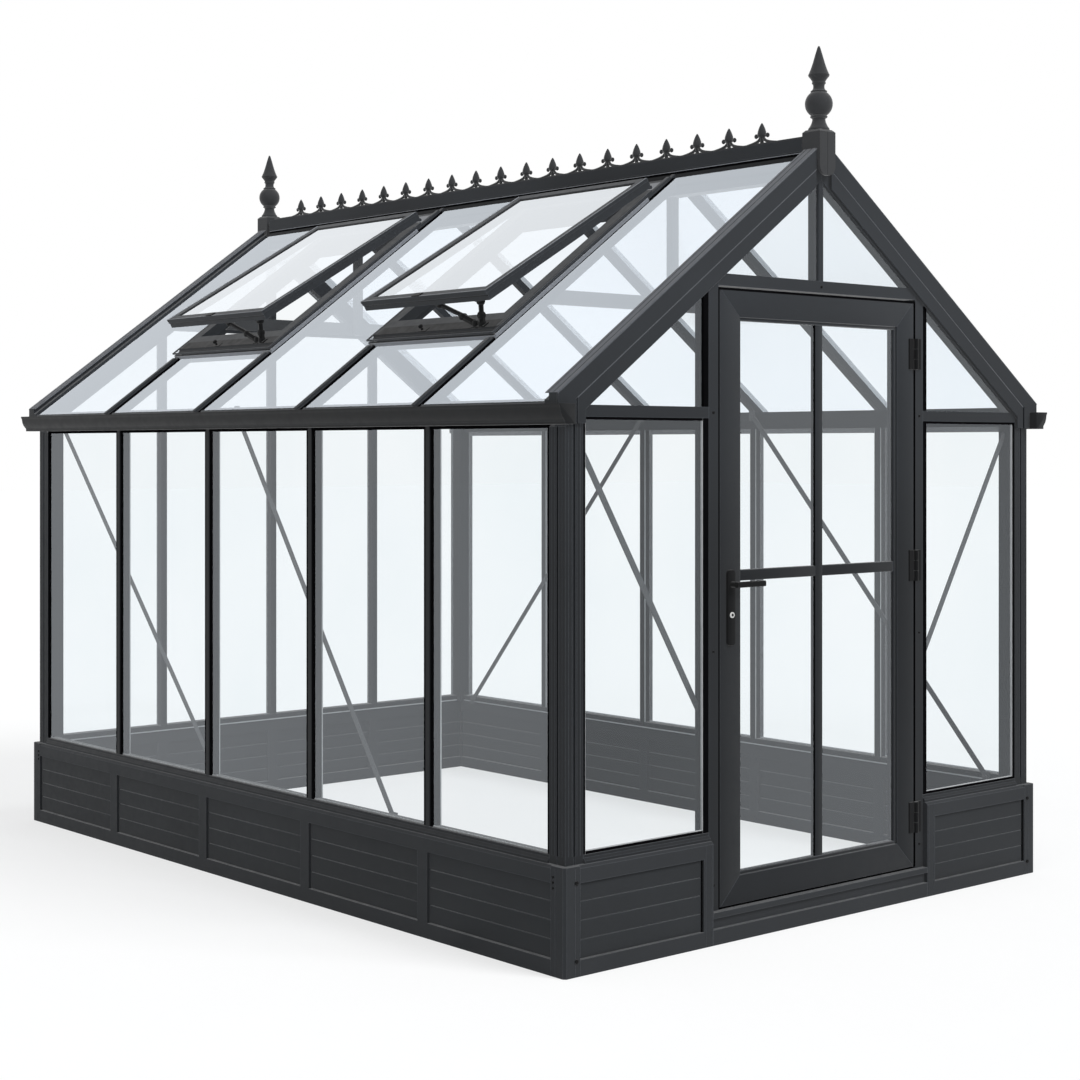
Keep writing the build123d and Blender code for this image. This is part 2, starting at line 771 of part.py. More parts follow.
def sash_pane(y0, y1):
    """The glass of a raised vent, a little under the top of its frame."""
    half = (y1 - y0) / 2 + sash_side_lap - sash_rail_width
    rail = sash_rail_width
    flat = (Align.MIN, Align.CENTER, Align.MAX)
    pane = Box(sash_length - 2 * rail, 2 * half, glass_thickness, align=flat)
    return sash_place((y0 + y1) / 2) * Pos(rail, 0, sash_depth - sash_pane_inset) * pane


def vent_stays(y0, y1):
    """The flat arms that hold a vent open, from the curb's bottom bar to the sash's bottom rail."""
    middle = (y0 + y1) / 2
    foot_x = (vent_opening_bottom + vent_bottom) / 2
    foot_z = roof_z(foot_x, curb_top)
    head = (sash_place(middle) * Pos(sash_length - sash_rail_width / 2, 0, 0)).position
    arms = []
    for foot, top in ((long_stay_foot, long_stay_head), (short_stay_foot, short_stay_head)):
        start = Vector(foot_x, middle - foot, foot_z)
        stop = Vector(head.X, middle - top, head.Z)
        lean = Plane(origin=start, z_dir=stop - start, x_dir=(0, 1, 0))
        arm = lean * Box(stay_width, stay_thickness, 2 * (stop - start).length)
        arms.append(arm & between_curb_and_sash(middle))
    return arms


def between_curb_and_sash(y):
    """The room between a vent's curb and the underside of its sash."""
    outline = oblong(y - half_length, y + half_length, curb_top, curb_top + sash_length)
    over_curb = up_slope(outline, vent_top, half_width)
    flat = (Align.MIN, Align.CENTER, Align.MAX)
    return over_curb & (sash_place(y) * Box(2 * sash_length, 2 * half_length, 2 * sash_length, align=flat))


# ---------------------------------------------------------------- braces and ties
def strip(across0, z0, across1, z1):
    """The outline of a flat brace between two points on a wall."""
    run = across1 - across0
    rise = z1 - z0
    length = (run ** 2 + rise ** 2) ** 0.5
    a = -rise / length * brace_width / 2
    b = run / length * brace_width / 2
    return [(across0 + a, z0 + b), (across1 + a, z1 + b), (across1 - a, z1 - b), (across0 - a, z0 - b)]


def side_brace(y0, z0, y1, z1):
    """A flat brace on the inner face of the right wall."""
    bar = along_x(strip(y0, z0, y1, z1), inner_x - brace_thickness, inner_x)
    return bar & block(0, frame_x, -post_y, post_y, base_height, roof_z(inner_x, bar_underside))


def gable_brace(x0, z0, x1, z1, near, far):
    """A flat brace on the inner face of the back gable, trimmed between two uprights."""
    bar = along_y(strip(x0, z0, x1, z1), inner_y - brace_thickness, inner_y)
    return bar & block(near, far, 0, half_length, base_height, eave_height)


def under_roof():
    """The space under the roof plane, over the whole length."""
    outline = [(-half_width, 0), (half_width, 0), (half_width, roof_z(half_width)), (0, crown),
               (-half_width, roof_z(half_width))]
    return along_y(outline, -half_length, half_length)


def tie(y):
    """A level tie between the two slopes, beside a pair of roof bars."""
    face = y + box_width / 2
    half = tie_height / 2
    bar = block(-half_width, half_width, face, face + tie_thickness, tie_level - half, tie_level + half)
    return bar & under_roof()


def hanger(y):
    """The upright from the ridge beam down to the bottom of a tie."""
    face = y + box_width / 2 + tie_thickness
    half = hanger_width / 2
    return block(-half, half, face, face + hanger_width, tie_level - tie_height / 2,
                 crown - ridge_depth_under_plane)


def gable_collar():
    """The level bar across the top of the back gable, behind its glass, on each side of the middle bar."""
    low = roof_z(bar_xs[-1], verge_bottom) + collar_over_bars
    bar = block(box_width / 2, half_width, inner_y, frame_y - glass_in, low, low + collar_height)
    return bar & under_verge()


# ---------------------------------------------------------------- assembly
def build():
    """Every node by name."""
    nodes = {}

    # low base
    right_base = side_base()
    stile = (post_out, post_out + door_side_stile_width)
    base_in = half_width - base_thickness
    front_right = flip_y(gable_base(post_out, base_in, [stile]))
    half_post = base_post_width / 2
    nodes["right_base_frame"] = right_base
    nodes["left_base_frame"] = flip_x(right_base)
    back_base = gable_base(-base_in, base_in, [(x - half_post, x + half_post) for x in bar_xs])
    nodes["gable_base_frames"] = in_node(back_base, front_right, flip_x(front_right))
    corner = base_corner()
    nodes["base_corner_posts"] = in_node(corner, flip_x(corner), flip_y(corner), flip_x(flip_y(corner)))
    boards = side_boards()
    nodes["side_base_boards"] = in_node(*boards, *[flip_x(b) for b in boards])
    starts = [-base_in] + [x + half_post for x in bar_xs]
    stops = [x - half_post for x in bar_xs] + [base_in]
    front_board = flip_y(gable_boards([(stile[1], base_in)])[0])
    nodes["gable_base_boards"] = in_node(front_board, flip_x(front_board), *gable_boards(zip(starts, stops)))
    nodes["threshold"] = threshold()

    # frame on the base
    post = corner_post()
    nodes["corner_posts"] = in_node(post, flip_x(post), flip_y(post), flip_x(flip_y(post)))
    side_sill = along_y(sill_outline(frame_x), -post_y, post_y)
    back_sill = along_x(sill_outline(frame_y), -post_x, post_x)
    front_sill = flip_y(along_x(sill_outline(frame_y), post_out, post_x))
    nodes["sills"] = in_node(side_sill, flip_x(side_sill), back_sill, front_sill, flip_x(front_sill))
    beam = eave_beam()
    nodes["eave_beams"] = in_node(beam, flip_x(beam))
    trough = gutter()
    nodes["right_gutter"] = trough
    nodes["left_gutter"] = flip_x(trough)
    bars = side_bars()
    nodes["right_wall_bars"] = in_node(*bars)
    nodes["left_wall_bars"] = in_node(*[flip_x(b) for b in bars])
    panes = side_glass()
    nodes["right_wall_glass"] = in_node(*panes)
    nodes["left_wall_glass"] = in_node(*[flip_x(p) for p in panes])

    # back gable
    back_bars = [gable_bar(x, sill_top) for x in bar_xs]
    nodes["back_gable_bars"] = in_node(*back_bars)
    eave_bar = block(-post_x, post_x, inner_y, frame_y, eave_bar_bottom, eave_bar_top) & under_verge()
    for bar in back_bars:
        eave_bar -= bar
    neck = neck_width / 2 + pane_edge_clearance
    starts = [-post_x] + [x + neck for x in bar_xs]
    stops = [x - neck for x in bar_xs] + [post_x]
    lower = [gable_pane(a, b, sill_top, eave_bar_bottom) for a, b in zip(starts, stops)]
    upper = [gable_pane(a, b, eave_bar_top) for a, b in zip(starts, stops)]
    nodes["back_gable_glass"] = in_node(*lower, *upper)

    # door gable
    upright = flip_y(door_post())
    nodes["door_posts"] = in_node(upright, flip_x(upright))
    nodes["door_header"] = flip_y(door_header())
    nodes["door_gable_bar"] = flip_y(gable_bar(0, header_top))
    front_eave_bar = flip_y(block(post_out, post_x, inner_y, frame_y, eave_bar_bottom, eave_bar_top))
    front_eave_bar = front_eave_bar & under_verge()
    nodes["gable_eave_bars"] = in_node(eave_bar, front_eave_bar, flip_x(front_eave_bar))
    front_panes = [gable_pane(post_out, post_x, sill_top, eave_bar_bottom),
                   gable_pane(post_out, post_x, eave_bar_top), gable_pane(neck, post_in, header_top)]
    front_panes = [flip_y(p) for p in front_panes]
    nodes["front_gable_glass"] = in_node(*front_panes, *[flip_x(p) for p in front_panes])

    # roof
    rafter = verge()
    nodes["gable_rafters"] = in_node(rafter, flip_x(rafter), flip_y(rafter), flip_x(flip_y(rafter)))
    ridge_beam = ridge()
    nodes["ridge"] = ridge_beam
    nodes["ridge_cresting"] = in_node(crest_rail(), *spikes())
    spans = pane_ends()
    saddle = finial_block() - rafter - flip_x(rafter) - ridge_beam
    turned = Pos(0, half_length - finial_block_size / 2, finial_block_top) * finial()
    back_finial = saddle + turned
    nodes["finials"] = in_node(back_finial, flip_y(back_finial))
    roof_bars = [roof_bar(y) for y in bar_ys]
    nodes["right_roof_bars"] = in_node(*roof_bars)
    nodes["left_roof_bars"] = in_node(*[flip_x(b) for b in roof_bars])
    nodes["right_roof_glass"] = in_node(*[roof_pane(a, b) for a, b in spans])
    left_panes = []
    for i, (a, b) in enumerate(spans):
        x_in = vent_bottom if i in vent_bays else ridge_width / 2
        left_panes.append(flip_x(roof_pane(a, b, x_in)))
    nodes["left_roof_glass"] = in_node(*left_panes)

    # roof vents
    vent_spans = [(bar_ys[i - 1], bar_ys[i]) for i in vent_bays]
    curbs = [vent_curb(y0, y1) for y0, y1 in vent_spans]
    sashes = [vent_sash(y0, y1) for y0, y1 in vent_spans]
    stays = [stay for y0, y1 in vent_spans for stay in vent_stays(y0, y1)]
    nodes["vent_curbs"] = in_node(*[flip_x(curb) for curb in curbs])
    nodes["vent_sashes"] = in_node(*[flip_x(sash) for sash in sashes])
    nodes["vent_glass"] = in_node(*[flip_x(sash_pane(y0, y1)) for y0, y1 in vent_spans])
    nodes["vent_stays"] = in_node(*[flip_x(stay) for stay in stays])

    # braces and ties
    low = base_height + brace_width / 2
    high = eave_height
    back_brace = flip_x(side_brace(bar_ys[2], low, post_y, high))
    front_brace = flip_x(side_brace(front_brace_foot, low, front_brace_head, high))
    right_back = side_brace(post_y - corner_post_size, low, bar_ys[2], high)
    nodes["wall_braces"] = in_node(back_brace, front_brace, right_back, flip_y(right_back))
    front_brace = flip_y(gable_brace(post_out, gable_brace_foot, post_x, eave_bar_bottom - 2 * brace_width,
                                     post_out, post_x))
    nodes["door_gable_braces"] = in_node(front_brace, flip_x(front_brace))
    front_tie = tie(bar_ys[0])
    front_hanger = hanger(bar_ys[0])
    nodes["roof_ties"] = in_node(front_tie, front_hanger, flip_y(front_tie), flip_y(front_hanger))
    collar = gable_collar()
    nodes["back_collar"] = in_node(collar, flip_x(collar))

    # door
    nodes["door_frame"] = door_leaf()
    nodes["door_glass"] = in_node(*door_panes())
    nodes["door_hinge_leaves"] = in_node(*[hinge_on_door(z) for z in hinge_heights])
    nodes["post_hinge_leaves"] = in_node(*[hinge_on_post(z) for z in hinge_heights])
    nodes["handle_plates"] = in_node(*handle_plates())
    nodes["door_lock"] = lock_cylinder()
    nodes["door_levers"] = levers()
    return nodes


if __name__ == "__main__":
    os.makedirs("parts", exist_ok=True)
    for name, shape in build().items():
        export_step(shape, os.path.join("parts", name + ".step"))
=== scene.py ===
"""Looks for the glass greenhouse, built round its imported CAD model. Metres, Z up, door gable facing -Y."""
import json
from math import cos, radians, sin, tan

import bmesh
import bpy
from mathutils import Matrix, Vector

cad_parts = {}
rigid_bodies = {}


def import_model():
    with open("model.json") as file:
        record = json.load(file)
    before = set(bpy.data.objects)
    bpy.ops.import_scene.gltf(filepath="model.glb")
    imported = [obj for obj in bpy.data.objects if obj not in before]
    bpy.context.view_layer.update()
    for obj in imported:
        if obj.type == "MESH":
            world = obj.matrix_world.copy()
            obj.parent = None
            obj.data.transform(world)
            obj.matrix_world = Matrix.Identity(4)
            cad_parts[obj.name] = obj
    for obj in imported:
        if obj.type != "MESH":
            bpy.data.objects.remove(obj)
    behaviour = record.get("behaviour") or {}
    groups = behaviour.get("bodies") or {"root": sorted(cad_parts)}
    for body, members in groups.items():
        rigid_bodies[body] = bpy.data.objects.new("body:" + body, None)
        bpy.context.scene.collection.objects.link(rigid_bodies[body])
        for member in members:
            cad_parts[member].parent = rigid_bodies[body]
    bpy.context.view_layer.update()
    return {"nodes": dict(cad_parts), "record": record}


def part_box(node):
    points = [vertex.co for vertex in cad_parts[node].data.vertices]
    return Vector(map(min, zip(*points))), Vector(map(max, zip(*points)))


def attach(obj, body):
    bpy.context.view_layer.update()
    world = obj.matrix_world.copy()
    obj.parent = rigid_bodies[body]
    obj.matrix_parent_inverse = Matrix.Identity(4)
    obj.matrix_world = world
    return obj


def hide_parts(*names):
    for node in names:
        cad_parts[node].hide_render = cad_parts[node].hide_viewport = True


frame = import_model()
nodes = frame["nodes"]
slot_of = {part["node"]: part["material_slot"] for part in frame["record"]["subparts"]}

# -------- sizes of the frame
FRAME_X, FRAME_Y = 1.110, 1.630
EAVE_HEIGHT = 1.660
ROOF_PITCH = radians(36.0)
SLOPE = cos(ROOF_PITCH)
ROOF_CROWN = EAVE_HEIGHT + FRAME_X * tan(ROOF_PITCH)
GLASS_TOP = 0.018
CAP_TOP = 0.030
RAFTER_UNDER = -0.056
POST = 0.070
POST_IN = FRAME_X - POST
DOOR_POST_IN = 0.520
SILL_TOP = 0.345
BOARD_FOOT = 1.600
CAP_HALF = 0.012
BOX_HALF = 0.014
BAR_DEPTH = 0.045

# painted shade: the paint is darker below the first height and full above the second, standing in for less
# light low down
SHADE_LOW, SHADE_HIGH = 1.15, 2.0
SHADE_TOP = 1.12
# painted highlight on the arrises: how much of it is mixed in, and how much paler than the coat it is
ARRIS_HIGHLIGHT_SHARE = 0.55
ARRIS_HIGHLIGHT_GAIN = 4.0

# base boards and door
BOARDS_A_PANEL = 4
BOARD_EDGE = 0.0035
DOOR_RAIL = 0.088
DOOR_BAR = 0.034
DOOR_BAR_DEPTH = 0.024
DOOR_BAR_HEIGHT = 1.130
DOOR_BEAD = 0.010
BEAD_SET_IN = 0.006
DOOR_GLASS_HALF = 0.002
MITRE_EDGE = 0.0014
KEYWAY_RADIUS = 0.0048

# seals, gaskets and screws
SEAL = 0.004
GASKET_REACH = 0.0146
# the wall bars' black strips reach further than the rubber: painted shade on the bars' sides
WALL_GASKET_SHADE_REACH = 0.0205
WALL_GASKET_SHADE_DEPTH = 0.0115
SILL_DEPTH = 0.053


# -------- modelling helpers
def deselect():
    if bpy.context.object and bpy.context.object.mode != "OBJECT":
        bpy.ops.object.mode_set(mode="OBJECT")
    bpy.ops.object.select_all(action="DESELECT")


def only(piece):
    deselect()
    piece.select_set(True)
    bpy.context.view_layer.objects.active = piece
    return piece


def settle(piece):
    """Puts the piece's place into its mesh."""
    only(piece)
    bpy.ops.object.transform_apply(location=True, rotation=True, scale=True)
    return piece


def slab(name, low, high):
    """A bar between two corners."""
    low, high = Vector(low), Vector(high)
    deselect()
    bpy.ops.mesh.primitive_cube_add(size=1, location=(low + high) / 2, scale=high - low)
    piece = bpy.context.object
    piece.name = name
    return settle(piece)


def edit(piece, mode, chosen):
    """Opens the piece for editing with the chosen edges or faces selected."""
    only(piece)
    bpy.ops.object.mode_set(mode="EDIT")
    bpy.ops.mesh.select_mode(type=mode)
    mesh = bmesh.from_edit_mesh(piece.data)
    bpy.ops.mesh.select_all(action="DESELECT")
    parts = {"VERT": mesh.verts, "EDGE": mesh.edges, "FACE": mesh.faces}[mode]
    for part in parts:
        part.select = bool(chosen(part))
    mesh.select_flush_mode()
    bmesh.update_edit_mesh(piece.data)


def done(piece):
    bpy.ops.object.mode_set(mode="OBJECT")
    return piece


def middle(edge):
    return (edge.verts[0].co + edge.verts[1].co) / 2


def upright(edge):
    return abs(edge.verts[0].co.z - edge.verts[1].co.z) > 0.1


def bevelled(piece, width, segments=2, chosen=lambda edge: True):
    """Rounds the chosen edges."""
    edit(piece, "EDGE", chosen)
    bpy.ops.mesh.bevel(offset=width, segments=segments, affect="EDGES", clamp_overlap=True)
    return done(piece)


def ordered(side, a, b):
    """Two distances on one side of the middle, lowest first."""
    return sorted([side * a, side * b])


def mirror(x=1, y=1, z=1):
    return Matrix.Diagonal((x, y, z, 1))


def copied(piece, name, move=(0, 0, 0), matrix=None):
    """A copy with a mesh of its own, moved or turned in its mesh."""
    twin = piece.copy()
    twin.data = piece.data.copy()
    twin.name = name
    bpy.context.scene.collection.objects.link(twin)
    twin.data.transform(matrix if matrix else Matrix.Translation(move))
    if matrix and matrix.determinant() < 0:
        twin.data.flip_normals()
    return twin


def strip(name, x, y, z, edge=0.0008):
    """A bar given by its two ends on each axis, in either order, with small chamfers or none."""
    low, high = ([pick(ends) for ends in (x, y, z)] for pick in (min, max))
    piece = slab(name, low, high)
    return bevelled(piece, edge, 1) if edge else piece


def joined(name, pieces):
    deselect()
    for piece in pieces:
        piece.select_set(True)
    bpy.context.view_layer.objects.active = pieces[0]
    if len(pieces) > 1:
        bpy.ops.object.join()
    piece = bpy.context.object
    piece.name = name
    return piece


def placed(piece, material, body="root", smooth=None):
    piece.data.materials.clear()
    piece.data.materials.append(material)
    if smooth is not None:
        only(piece)
        bpy.ops.object.shade_smooth_by_angle(angle=radians(smooth))
    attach(piece, body)
    return piece


def solids(node):
    """The box of each separate solid of a CAD node, lowest corner first."""
    mesh = nodes[node].data
    keys = [tuple(round(c, 5) for c in v.co) for v in mesh.vertices]
    parent = {k: k for k in keys}

    def root(k):
        while parent[k] != k:
            parent[k] = parent[parent[k]]
            k = parent[k]
        return k

    for polygon in mesh.polygons:
        first = root(keys[polygon.vertices[0]])
        for index in polygon.vertices[1:]:
            parent[root(keys[index])] = first
    groups = {}
    for k in set(keys):
        groups.setdefault(root(k), []).append(k)
    boxes = []
    for group in groups.values():
        boxes.append((Vector([min(k[i] for k in group) for i in range(3)]),
                      Vector([max(k[i] for k in group) for i in range(3)])))
    return sorted(boxes, key=lambda b: tuple(b[0]))


def turned(name, centre, profile, steps=48):
    """A turned piece: a disc drawn upwards ring by ring, each ring as (radius, height)."""
    deselect()
    radius, height = profile[0]
    base = Vector(centre) + Vector((0, 0, height))
    bpy.ops.mesh.primitive_circle_add(vertices=steps, radius=radius, fill_type="NGON", location=base)
    piece = bpy.context.object
    piece.name = name
    settle(piece)
    edit(piece, "FACE", lambda face: True)
    for wide, high in profile[1:]:
        bpy.ops.mesh.extrude_region_move(TRANSFORM_OT_translate={"value": (0, 0, high - height)})
        share = wide / radius
        centre_now = Vector(centre) + Vector((0, 0, high))
        bpy.ops.transform.resize(value=(share, share, 1), center_override=centre_now)
        radius, height = wide, high
    bpy.ops.mesh.select_all(action="SELECT")
    bpy.ops.mesh.normals_make_consistent(inside=False)
    return done(piece)


def stood(piece, place, normal):
    """Stands an upright piece on a point, facing along a normal."""
    turn = Vector(normal).to_track_quat("Z", "Y").to_matrix().to_4x4()
    piece.data.transform(Matrix.Translation(place) @ turn)
    return piece


def screw_head(name, place, normal, radius):
    """A low domed screw head on a face, with its driver recess."""
    deselect()
    bpy.ops.mesh.primitive_cylinder_add(vertices=14, radius=radius, depth=radius * 0.6,
                                        location=(0, 0, radius * 0.3))
    piece = settle(bpy.context.object)
    piece.name = name
    edit(piece, "FACE", lambda f: f.normal.z > 0.9)
    bpy.ops.mesh.inset(thickness=radius * 0.3)
    bpy.ops.transform.translate(value=(0, 0, radius * 0.18))
    bpy.ops.mesh.inset(thickness=radius * 0.28)
    bpy.ops.mesh.extrude_region_move(TRANSFORM_OT_translate={"value": (0, 0, -radius * 0.3)})
    return stood(done(piece), place, normal)


def pin(name, place, normal, radius, length):
    """A short round pin, standing on a point, with rounded rims."""
    deselect()
    bpy.ops.mesh.primitive_cylinder_add(vertices=16, radius=radius, depth=length, location=(0, 0, length / 2))
    piece = settle(bpy.context.object)
    piece.name = name
    bevelled(piece, min(radius, length) * 0.22, 2, lambda e: abs(e.verts[0].co.z - e.verts[1].co.z) < 1e-6)
    return stood(piece, place, normal)


def laid(piece, matrix):
    """Turns a piece from a roof's own directions (down the slope, along, out) into place."""
    piece.data.transform(matrix)
    if matrix.determinant() < 0:
        piece.data.flip_normals()
    return piece


def roof_frame(side, pitch=ROOF_PITCH, origin=None):
    """Down the slope, along the ridge and out of the roof, from the crown line or another origin."""
    start = Vector(origin) if origin else Vector((0, 0, ROOF_CROWN))
    down = Vector((side * cos(pitch), 0, -sin(pitch)))
    out = Vector((side * sin(pitch), 0, cos(pitch)))
    turn = Matrix((down, (0, 1, 0), out)).transposed().to_4x4()
    return Matrix.Translation(start) @ turn


def swept(name, points, radius, sides=3):
    """A round bar along a smooth path."""
    deselect()
    bpy.ops.curve.primitive_nurbs_path_add(location=(0, 0, 0))
    curve = bpy.context.object
    curve.name = name
    curve.data.splines.remove(curve.data.splines[0])
    spline = curve.data.splines.new("NURBS")
    spline.points.add(len(points) - 1)
    for point, place in zip(spline.points, points):
        point.co = (*place, 1)
    spline.order_u = 3
    spline.use_endpoint_u = True
    spline.resolution_u = 4
    curve.data.dimensions = "3D"
    curve.data.bevel_depth = radius
    curve.data.bevel_resolution = sides - 2
    curve.data.use_fill_caps = True
    bpy.ops.object.convert(target="MESH")
    return settle(bpy.context.object)


# -------- materials
SETTING = {"Mix": "data_type", "Bevel": "samples"}


def new_material(name):
    material = bpy.data.materials.new(name)
    material.use_nodes = True
    material.node_tree.nodes.clear()
    return material, material.node_tree


def add(tree, kind, setting=None, *inputs, out=0, **named):
    """Adds a shader node, fills its sockets with values or with other outputs, and returns one output."""
    node = tree.nodes.new("ShaderNode" + kind)
    if setting is not None:
        setattr(node, SETTING.get(kind, "operation"), setting)
    sockets = [(node.inputs[i], value) for i, value in enumerate(inputs)]
    sockets += [(node.inputs[word.replace("_", " ")], value) for word, value in named.items()]
    for socket, value in sockets:
        if isinstance(value, bpy.types.NodeSocket):
            tree.links.new(value, socket)
        else:
            socket.default_value = value
    return node.outputs[out] if node.outputs else None


def noise(tree, place, scale, detail=4.0, roughness=0.55):
    return add(tree, "TexNoise", Vector=place, Scale=scale, Detail=detail, Roughness=roughness, out="Fac")


def ranged(tree, value, start, end, low, high):
    return add(tree, "MapRange", Value=value, From_Min=start, From_Max=end, To_Min=low, To_Max=high,
               out="Result")


def spread(tree, value, low, high):
    """Noise stretched between two values."""
    return ranged(tree, value, 0.3, 0.7, low, high)


def powder_coat(name, colour, roughness, specular=0.3, cloud=0.12, grain=0.00012, arris_highlight=0.0, painted_low_shade=1.0):
    """A satin powder coat: slow clouds of colour, a fine orange peel, a painted highlight on the arrises, and
    painted shade low down when asked for.
    """
    material, tree = new_material(name)
    place = add(tree, "TexCoord", out="Object")
    slow, mid, peel = (noise(tree, place, *fineness) for fineness in ((2.3, 3.0), (34.0, 5.0), (520.0, 2.0)))
    deep = tuple(c * (1 - cloud) for c in colour) + (1,)
    pale = tuple(c * (1 + cloud) for c in colour) + (1,)
    blend = add(tree, "Math", "ADD", spread(tree, slow, 0.0, 0.6), spread(tree, mid, 0.0, 0.4))
    tone = add(tree, "Mix", "RGBA", Factor=blend, A=deep, B=pale, out="Result")
    # painted shade: the colour is scaled down low on the piece and up near the top, by its height
    if painted_low_shade < 1.0:
        height = add(tree, "SeparateXYZ", Vector=place, out="Z")
        shade = ranged(tree, height, SHADE_LOW, SHADE_HIGH, painted_low_shade, SHADE_TOP)
        tone = add(tree, "VectorMath", "SCALE", tone, Scale=shade, out="Vector")
    # painted highlight: a paler line mixed into the colour along sharp edges, where a rounded edge would
    # catch the light
    if arris_highlight:
        rounded = add(tree, "Bevel", 4, Radius=arris_highlight, out="Normal")
        true = add(tree, "NewGeometry", out="Normal")
        dot = add(tree, "VectorMath", "DOT_PRODUCT", rounded, true, out="Value")
        edge_highlight = ranged(tree, dot, 0.995, 0.9, 0.0, ARRIS_HIGHLIGHT_SHARE)
        highlight_tone = tuple(c * ARRIS_HIGHLIGHT_GAIN for c in colour) + (1,)
        tone = add(tree, "Mix", "RGBA", Factor=edge_highlight, A=tone, B=highlight_tone, out="Result")
    bump = add(tree, "Bump", Strength=0.35, Distance=grain, Height=peel, out="Normal")
    paint = add(tree, "BsdfPrincipled", Base_Color=tone, Specular_IOR_Level=specular, Normal=bump,
                Roughness=spread(tree, mid, roughness - 0.05, roughness + 0.06))
    add(tree, "OutputMaterial", Surface=paint)
    return material


def pane_glass(name, tint, ior, gloss_colour, sheen=0.0):
    """Clear toughened glass: it lets light through with a faint tint and mirrors more at a glance."""
    material, tree = new_material(name)
    place = add(tree, "TexCoord", out="Object")
    slow, film = noise(tree, place, 1.6, 2.0), noise(tree, place, 18.0, 5.0)
    thin = tuple(1 - (1 - c) * 0.6 for c in tint)
    tone = add(tree, "Mix", "RGBA", Factor=spread(tree, slow, 0.0, 1.0), A=(*tint, 1), B=(*thin, 1),
               out="Result")
    clear = add(tree, "BsdfTransparent", Color=tone)
    mirror = add(tree, "BsdfPrincipled", Metallic=1.0, Base_Color=(*gloss_colour, 1),
                 Roughness=spread(tree, film, 0.01, 0.04))
    glance = add(tree, "Math", "ADD", add(tree, "Fresnel", IOR=ior), sheen)
    front = add(tree, "Math", "SUBTRACT", 1.0, add(tree, "NewGeometry", out="Backfacing"))
    share = add(tree, "Math", "MULTIPLY", glance, front)
    add(tree, "OutputMaterial", Surface=add(tree, "MixShader", None, share, clear, mirror))
    return material


def turned_steel(name):
    """Bright drawn steel with fine rings of tooling."""
    material, tree = new_material(name)
    fine = noise(tree, add(tree, "TexCoord", out="Object"), 900.0, 3.0)
    metal = add(tree, "BsdfPrincipled", Metallic=1.0, Base_Color=(0.62, 0.62, 0.61, 1),
                Roughness=spread(tree, fine, 0.22, 0.4))
    add(tree, "OutputMaterial", Surface=metal)
    return material


# the frame coat, with painted highlight on its arrises and painted shade low down
coat = powder_coat("frame_powder_coat", (0.0232, 0.0256, 0.0292), 0.46, 0.15, arris_highlight=0.0025, painted_low_shade=0.58)
# a darker copy of the frame coat for the ridge: painted shade
ridge_coat_shaded = powder_coat("ridge_powder_coat", (0.013, 0.0138, 0.015), 0.42, 0.14, arris_highlight=0.003)
# pale grey for the vents' flashing, and for thin pale lines that are painted highlight on the sash edges and
# the ridge
flashing_and_highlight = powder_coat("vent_flashing", (0.17, 0.18, 0.2), 0.38, 0.4, arris_highlight=0.001)
base_coat = powder_coat("base_powder_coat", (0.0255, 0.0275, 0.0305), 0.5, 0.13, arris_highlight=0.0028)
board_coat = powder_coat("board_powder_coat", (0.0225, 0.0245, 0.027), 0.52, 0.13, cloud=0.16, arris_highlight=0.0032)
crest_coat = powder_coat("cast_crest_paint", (0.029, 0.0302, 0.0325), 0.4, 0.24, cloud=0.2, grain=0.0004)
black = powder_coat("black_fittings", (0.0075, 0.0077, 0.0083), 0.42, 0.07)
brace_coat = powder_coat("brace_paint", (0.066, 0.069, 0.0735), 0.42, 0.24)
# a darker copy of the frame coat for the wall bars: painted shade
bar_coat_shaded = powder_coat("wall_bar_powder_coat", (0.0145, 0.0155, 0.017), 0.46, 0.13, arris_highlight=0.0025)
# a lighter, bluer copy of the frame coat for the rafters' top faces: painted light where they face the sky
verge_top_light = powder_coat("verge_top_coat", (0.072, 0.078, 0.091), 0.42, 0.2, arris_highlight=0.001)
# pale lines along the verge boards' edges: painted highlight
highlight_line_coat = powder_coat("verge_line_coat", (0.062, 0.067, 0.075), 0.4, 0.3, arris_highlight=0.001)
# a darker copy of the frame coat for the gutters: painted shade
gutter_coat_shaded = powder_coat("gutter_powder_coat", (0.0085, 0.0092, 0.0102), 0.42, 0.16, arris_highlight=0.003)
# pale grey for the seals at the panes' feet and round the sill, and for lips beside black seals that are
# painted highlight
pale_seal_and_highlight = powder_coat("grey_glazing_seal", (0.42, 0.43, 0.44), 0.6, 0.2)
steel = turned_steel("lock_steel")
WALL_TINT, ROOF_TINT = (0.958, 0.972, 0.976), (0.975, 0.987, 0.995)
wall_glass = pane_glass("wall_glass", WALL_TINT, 1.52, (0.90, 0.95, 1.0), 0.055)
roof_glass = pane_glass("roof_glass", ROOF_TINT, 1.9, (0.84, 0.915, 1.0), 0.29)
gable_glass = pane_glass("front_gable_glass", WALL_TINT, 1.52, (0.90, 0.95, 1.0), 0.02)
vent_pane = pane_glass("vent_glass", ROOF_TINT, 1.9, (0.90, 0.95, 1.0), 0.46)
# black rubber for the gaskets, and for black lines that are painted shade in grooves, seams, gaps and key
# holes
rubber_and_shade = powder_coat("black_gasket", (0.0035, 0.0035, 0.004), 0.75, 0.0, cloud=0.2, grain=0.0003)

